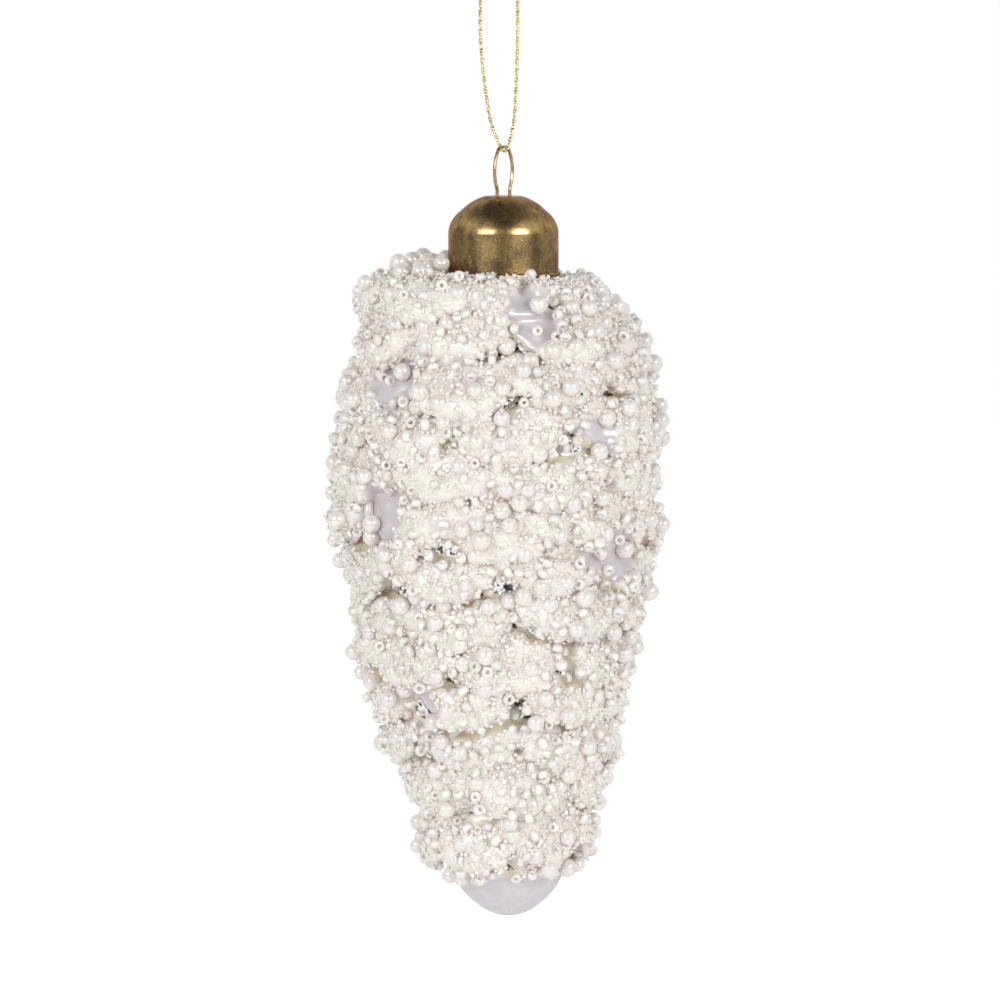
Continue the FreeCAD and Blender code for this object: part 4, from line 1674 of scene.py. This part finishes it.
@dataclass
class CapAndHanger:
    """The brass cap and the spring wire, both shown as the CAD made them."""

    def build(self) -> list:
        """Dress the two CAD nodes.

        Returns:
            The dressed objects.
        """
        pieces = []
        for node, finish in (("cap", AgedBrass()), ("hanger_wire", DrawnWire())):
            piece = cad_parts[node]
            piece.data.materials.clear()
            piece.data.materials.append(finish.build())
            pieces.append(piece)
            LOG.info("%s dressed", node)
        return pieces


# ------------------------------------------------------------------------------------- thread


@dataclass
class ThreadLoop:
    """The twisted metallic thread and its knot.

    Attributes:
        diameter: Outer diameter of the thread.
        plies: Strands twisted together.
        pitch: Length of one full twist.
        step: Distance between rings of a strand's mesh.
        sides: Faces round a strand.
        ply_share: A strand's radius as a share of the thread's diameter.
        fray_from: Where along a frayed thread its strands begin to part.
        knot_steps: Points along the knot.
        knot_size: Half width of the knot's lobes, over 3.
        knot_rise: Half the knot's height.
        knot_middle: Height of the knot's middle.
        route: The loop's centre line, as millimetres across and up.
    """

    diameter: float = 0.65 * MM
    plies: int = 2
    pitch: float = 3.4 * MM
    step: float = 0.14 * MM
    sides: int = 7
    ply_share: float = 0.27
    fray_from: float = 0.6
    knot_steps: int = 160
    knot_size: float = 0.30
    knot_rise: float = 0.42
    knot_middle: float = 1.05

    route = (
        (0.06, 0.425),
        (1.615, 0.385),
        (3.325, -0.525),
        (4.418, -2.33),
        (4.75, -7.35),
        (4.608, -12.6),
        (3.80, -19.5),
        (2.613, -26.4),
        (0.983, -29.5),
        (0.432, -31.045),
        (-0.633, -31.045),
        (-1.453, -28.9),
        (-2.28, -25.2),
        (-2.622, -18.6),
        (-2.85, -11.7),
        (-2.879, -5.4),
        (-2.708, -1.342),
        (-2.166, -0.259),
        (-1.169, 0.395),
        (-0.06, 0.425),
    )

    def centre_line(self) -> np.ndarray:
        """Points along the smooth line of the route.

        Returns:
            Rows of x, y, z in metres.
        """
        curve = bpy.data.curves.new("thread_route", "CURVE")
        curve.dimensions = "3D"
        spline = curve.splines.new("NURBS")
        spline.points.add(len(self.route) - 1)
        for point, (across, up) in zip(spline.points, self.route):
            point.co = (0.0, across * MM, up * MM, 1.0)
        spline.order_u = 3
        spline.use_endpoint_u = True
        spline.resolution_u = 24
        holder = bpy.data.objects.new("thread_route", curve)
        bpy.context.scene.collection.objects.link(holder)
        graph = bpy.context.evaluated_depsgraph_get()
        line = bpy.data.meshes.new_from_object(holder.evaluated_get(graph))
        points = rows(line, "co")
        bpy.data.objects.remove(holder)
        bpy.data.meshes.remove(line)
        return points

    def evenly(self, points: np.ndarray) -> np.ndarray:
        """The same line with its points a step apart."""
        runs = np.linalg.norm(np.diff(points, axis=0), axis=1)
        reach = np.concatenate([[0.0], np.cumsum(runs)])
        count = int(reach[-1] / self.step)
        wanted = np.linspace(0.0, reach[-1], count)
        return np.stack([np.interp(wanted, reach, points[:, k]) for k in range(3)], 1)

    def twisted(
        self, name: str, line: np.ndarray, material: bpy.types.Material, taper: float = 0.0
    ) -> bpy.types.Object:
        """Twist the plies along a line.

        Args:
            name: The piece's name.
            line: Points a step apart.
            material: The yarn.
            taper: Share by which the plies spread at the line's end.

        Returns:
            The thread's object.
        """
        ply = self.diameter * self.ply_share
        offset = self.diameter / 2 - ply
        heading = np.gradient(line, axis=0)
        heading /= np.linalg.norm(heading, axis=1)[:, None]
        side = np.cross(heading[0], (1.0, 0.0, 0.0))
        side /= np.linalg.norm(side)
        points, faces, along, frames = [], [], [], []
        for forward in heading:
            side = side - forward * side.dot(forward)
            side /= np.linalg.norm(side)
            frames.append((side.copy(), np.cross(forward, side)))
        last = len(line) - 1
        for strand in range(self.plies):
            start = len(points)
            for ring, centre in enumerate(line):
                a, b = frames[ring]
                turn = FULL_TURN * (ring * self.step / self.pitch + strand / self.plies)
                frayed = max(0.0, ring / last - self.fray_from) / (1.0 - self.fray_from)
                spread = 1.0 + taper * frayed
                core = centre + offset * spread * (math.cos(turn) * a + math.sin(turn) * b)
                for corner in range(self.sides):
                    angle = turn + FULL_TURN * corner / self.sides
                    points.append(core + ply * (math.cos(angle) * a + math.sin(angle) * b))
                    along.append(ring * self.step)
            for ring in range(last):
                for corner in range(self.sides):
                    after = (corner + 1) % self.sides
                    low = start + ring * self.sides
                    high = low + self.sides
                    faces.append((low + corner, low + after, high + after, high + corner))
            faces.append(tuple(start + corner for corner in reversed(range(self.sides))))
            end = start + last * self.sides
            faces.append(tuple(end + corner for corner in range(self.sides)))
        mesh = mesh_from(name, points, faces)
        float_attribute(mesh, "along", along)
        mesh.materials.append(material)
        return new_object(name, mesh)

    def knot_line(self) -> np.ndarray:
        """An overhand knot at the loop's top with its two tails.

        Returns:
            Points a step apart.
        """
        points = []
        for number in range(self.knot_steps):
            t = FULL_TURN * (0.04 + 0.92 * number / (self.knot_steps - 1))
            x = self.knot_size * (math.sin(t) + 2 * math.sin(2 * t))
            y = self.knot_size * (math.cos(t) - 2 * math.cos(2 * t))
            z = self.knot_middle - self.knot_rise * math.sin(3 * t)
            points.append((x * MM, y * MM, z * MM))
        before = self.tail(points[0], (0.35, 0.16, 0.52))
        after = self.tail(points[-1], (-0.22, 0.10, 0.56))
        return self.evenly(np.array(before[::-1] + points + after))

    @staticmethod
    def tail(start: Place, lean: Place, steps: int = 7) -> list:
        """Points of a tail that leaves the knot by so many millimetres a step."""
        return [
            tuple(at + by * number * MM for at, by in zip(start, lean))
            for number in range(1, steps + 1)
        ]

    def build(self) -> list:
        """Make the thread and its knot.

        Returns:
            The thread and the knot.
        """
        yarn = MetallicYarn().build()
        smooth = self.centre_line()
        thread = self.twisted("hanging_thread_yarn", self.evenly(smooth), yarn)
        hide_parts("hanging_thread")
        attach(thread, Body.THREAD.value)
        knot = self.twisted("thread_knot_yarn", self.knot_line(), yarn, 0.5)
        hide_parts("thread_knot")
        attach(knot, Body.THREAD.value)
        return [thread, knot]


# -------------------------------------------------------------------------------------- studio


@dataclass(frozen=True)
class SoftBox:
    """An area light that stands on each side of the camera and looks at the object.

    Attributes:
        label: End of its name.
        turn: Degrees round from the camera.
        rise: Degrees above the horizon.
        wide: Width in metres.
        tall: Height in metres.
        watts: Power.
        glint: Whether it makes only highlights; if not, it makes none.
    """

    label: str
    turn: float
    rise: float
    wide: float
    tall: float
    watts: float
    glint: bool


@dataclass
class Studio:
    """Floor, lights and camera.

    Attributes:
        distance: Camera's distance from the object's middle.
        azimuth: Camera's heading, in degrees.
        elevation: Camera's height angle, in degrees.
        across: Width of the view at the object.
        middle: Height of the view's centre.
        aside: The view's centre, to the right of the axis.
        floor_height: Height of the floor.
        floor_reach: Radius of the floor.
        floor_sides: Sides of the floor's outline.
        tent: Brightness of the tent round the object.
        box_distance: Distance of the softboxes.
        boxes: The softboxes, each standing on both sides.
        diffuse_bounces: Light's bounces among the pale beads.
        bounces: Light's bounces of any kind.
        sensor: Width of the camera's sensor in millimetres.
        clip: Nearest and farthest distance that the camera sees.
    """

    distance: float = 1.6
    azimuth: float = -60.0
    elevation: float = 4.5
    across: float = 0.175
    middle: float = -0.0921
    aside: float = -0.0006
    floor_height: float = -0.36
    floor_reach: float = 4.0
    floor_sides: int = 64
    tent: float = 0.90
    box_distance: float = 1.1
    boxes: tuple = (
        SoftBox("box", 38.0, 18.0, 0.40, 0.40, 2.6, glint=False),
        SoftBox("glint", 37.0, 20.0, 0.50, 0.30, 6.0, glint=True),
    )
    diffuse_bounces: int = 24
    bounces: int = 28
    sensor: float = 36.0
    clip: tuple = (0.05, 50.0)

    @staticmethod
    def heading(turn_deg: float, rise_deg: float) -> Vector:
        """The unit vector towards a heading and a height angle, in degrees."""
        turn, rise = math.radians(turn_deg), math.radians(rise_deg)
        return Vector(
            (math.sin(turn) * math.cos(rise), -math.cos(turn) * math.cos(rise), math.sin(rise))
        )

    def directions(self) -> tuple:
        """Unit vectors from the object to the camera, to the right and up in the view."""
        back = self.heading(self.azimuth, self.elevation)
        turn = math.radians(self.azimuth)
        right = Vector((math.cos(turn), math.sin(turn), 0.0))
        return back, right, back.cross(right)

    def softbox(self, box: SoftBox, name: str, side: float) -> None:
        """Set up a softbox on one side.

        Args:
            box: The softbox.
            name: The light's name.
            side: -1 for the left of the camera, 1 for the right.
        """
        out = self.heading(self.azimuth + side * box.turn, box.rise)
        light = bpy.data.lights.new(name, "AREA")
        light.shape = "RECTANGLE"
        light.size = box.wide
        light.size_y = box.tall
        light.energy = box.watts
        holder = bpy.data.objects.new(name, light)
        bpy.context.scene.collection.objects.link(holder)
        holder.location = Vector((0.0, 0.0, self.middle)) + out * self.box_distance
        holder.rotation_euler = out.to_track_quat("Z", "Y").to_euler()
        holder.visible_glossy = box.glint
        holder.visible_diffuse = not box.glint
        holder.visible_transmission = not box.glint

    def world(self) -> None:
        """A pale tent with darker gaps, which the camera itself sees as plain white."""
        world = bpy.data.worlds.new("studio")
        bpy.context.scene.world = world
        world.use_nodes = True
        tree = world.node_tree
        tree.nodes.clear()
        link = tree.links.new
        place = tree.nodes.new("ShaderNodeTexCoord").outputs["Generated"]

        def towards(direction: Vector, near: float, far: float) -> bpy.types.NodeSocket:
            """Share that falls from 1 at one cosine to 0 at another, about a direction."""
            dot = tree.nodes.new("ShaderNodeVectorMath")
            dot.operation = "DOT_PRODUCT"
            link(place, dot.inputs[0])
            dot.inputs[1].default_value = direction
            ease = tree.nodes.new("ShaderNodeMapRange")
            ease.interpolation_type = "SMOOTHSTEP"
            link(dot.outputs["Value"], ease.inputs["Value"])
            ease.inputs["From Min"].default_value = far
            ease.inputs["From Max"].default_value = near
            return ease.outputs["Result"]

        def darker(
            tone: bpy.types.NodeSocket, share: bpy.types.NodeSocket, left: float
        ) -> bpy.types.NodeSocket:
            """Dim a tone to a share of itself where another share is 1."""
            keep = tree.nodes.new("ShaderNodeMapRange")
            link(share, keep.inputs["Value"])
            keep.inputs["To Min"].default_value = 1.0
            keep.inputs["To Max"].default_value = left
            both = tree.nodes.new("ShaderNodeMath")
            both.operation = "MULTIPLY"
            link(tone, both.inputs[0])
            link(keep.outputs[0], both.inputs[1])
            return both.outputs[0]

        back, right, up = self.directions()
        tone = tree.nodes.new("ShaderNodeValue").outputs[0]
        tone.default_value = self.tent
        # Each gap: its direction, the cosines where it is full and where it ends, the light left.
        gaps = (
            (up, 1.0, 0.58, 0.16),
            (back, 0.985, 0.95, 0.30),
            ((back * 0.35 + right * 0.94).normalized(), 0.99, 0.965, 0.08),
            ((back * 0.35 - right * 0.94).normalized(), 0.99, 0.965, 0.08),
            ((back * 0.8 + up * 0.75).normalized(), 0.95, 0.90, 0.2),
            ((back * -0.3 - right * 0.95).normalized(), 0.97, 0.86, 0.35),
            ((back * -0.3 + right * 0.95).normalized(), 0.97, 0.90, 0.55),
        )
        for direction, near, far, left in gaps:
            tone = darker(tone, towards(direction, near, far), left)
        seen = tree.nodes.new("ShaderNodeBackground")
        seen.inputs["Color"].default_value = WHITE
        seen.inputs["Strength"].default_value = 1.0
        lit = tree.nodes.new("ShaderNodeBackground")
        lit.inputs["Color"].default_value = WHITE
        link(tone, lit.inputs["Strength"])
        path = tree.nodes.new("ShaderNodeLightPath")
        mix = tree.nodes.new("ShaderNodeMixShader")
        link(path.outputs["Is Camera Ray"], mix.inputs[0])
        link(lit.outputs[0], mix.inputs[1])
        link(seen.outputs[0], mix.inputs[2])
        out = tree.nodes.new("ShaderNodeOutputWorld")
        link(mix.outputs[0], out.inputs["Surface"])

    def floor(self) -> bpy.types.Object:
        """A round pale floor under the ornament."""
        angles = [FULL_TURN * number / self.floor_sides for number in range(self.floor_sides)]
        reach = self.floor_reach
        points = [(reach * math.cos(a), reach * math.sin(a), self.floor_height) for a in angles]
        mesh = mesh_from("floor", points, [tuple(range(self.floor_sides))])
        piece = new_object("floor", mesh)
        piece.data.materials.append(PaleFloor().build())
        return piece

    def build(self) -> None:
        """Set up the floor, the lights and the camera."""
        back, right, _ = self.directions()
        camera_data = bpy.data.cameras.new("camera")
        camera_data.sensor_width = self.sensor
        camera_data.lens = self.sensor * self.distance / self.across
        camera_data.clip_start, camera_data.clip_end = self.clip
        camera = bpy.data.objects.new("camera", camera_data)
        bpy.context.scene.collection.objects.link(camera)
        target = Vector((0.0, 0.0, self.middle)) + right * self.aside
        camera.location = target + back * self.distance
        camera.rotation_mode = "QUATERNION"
        camera.rotation_quaternion = back.to_track_quat("Z", "Y")
        bpy.context.scene.camera = camera
        bpy.context.scene.view_settings.view_transform = "Standard"
        bpy.context.scene.cycles.diffuse_bounces = self.diffuse_bounces
        bpy.context.scene.cycles.max_bounces = self.bounces
        self.world()
        self.floor()
        for side, name in ((-1.0, "left_"), (1.0, "right_")):
            for box in self.boxes:
                self.softbox(box, name + box.label, side)


def main() -> None:
    """Build every piece in order."""
    glass = GlassBody()
    glass.build()
    Crust(glass).build()
    CapAndHanger().build()
    ThreadLoop().build()
    Studio().build()


if __name__ == "__main__":
    main()
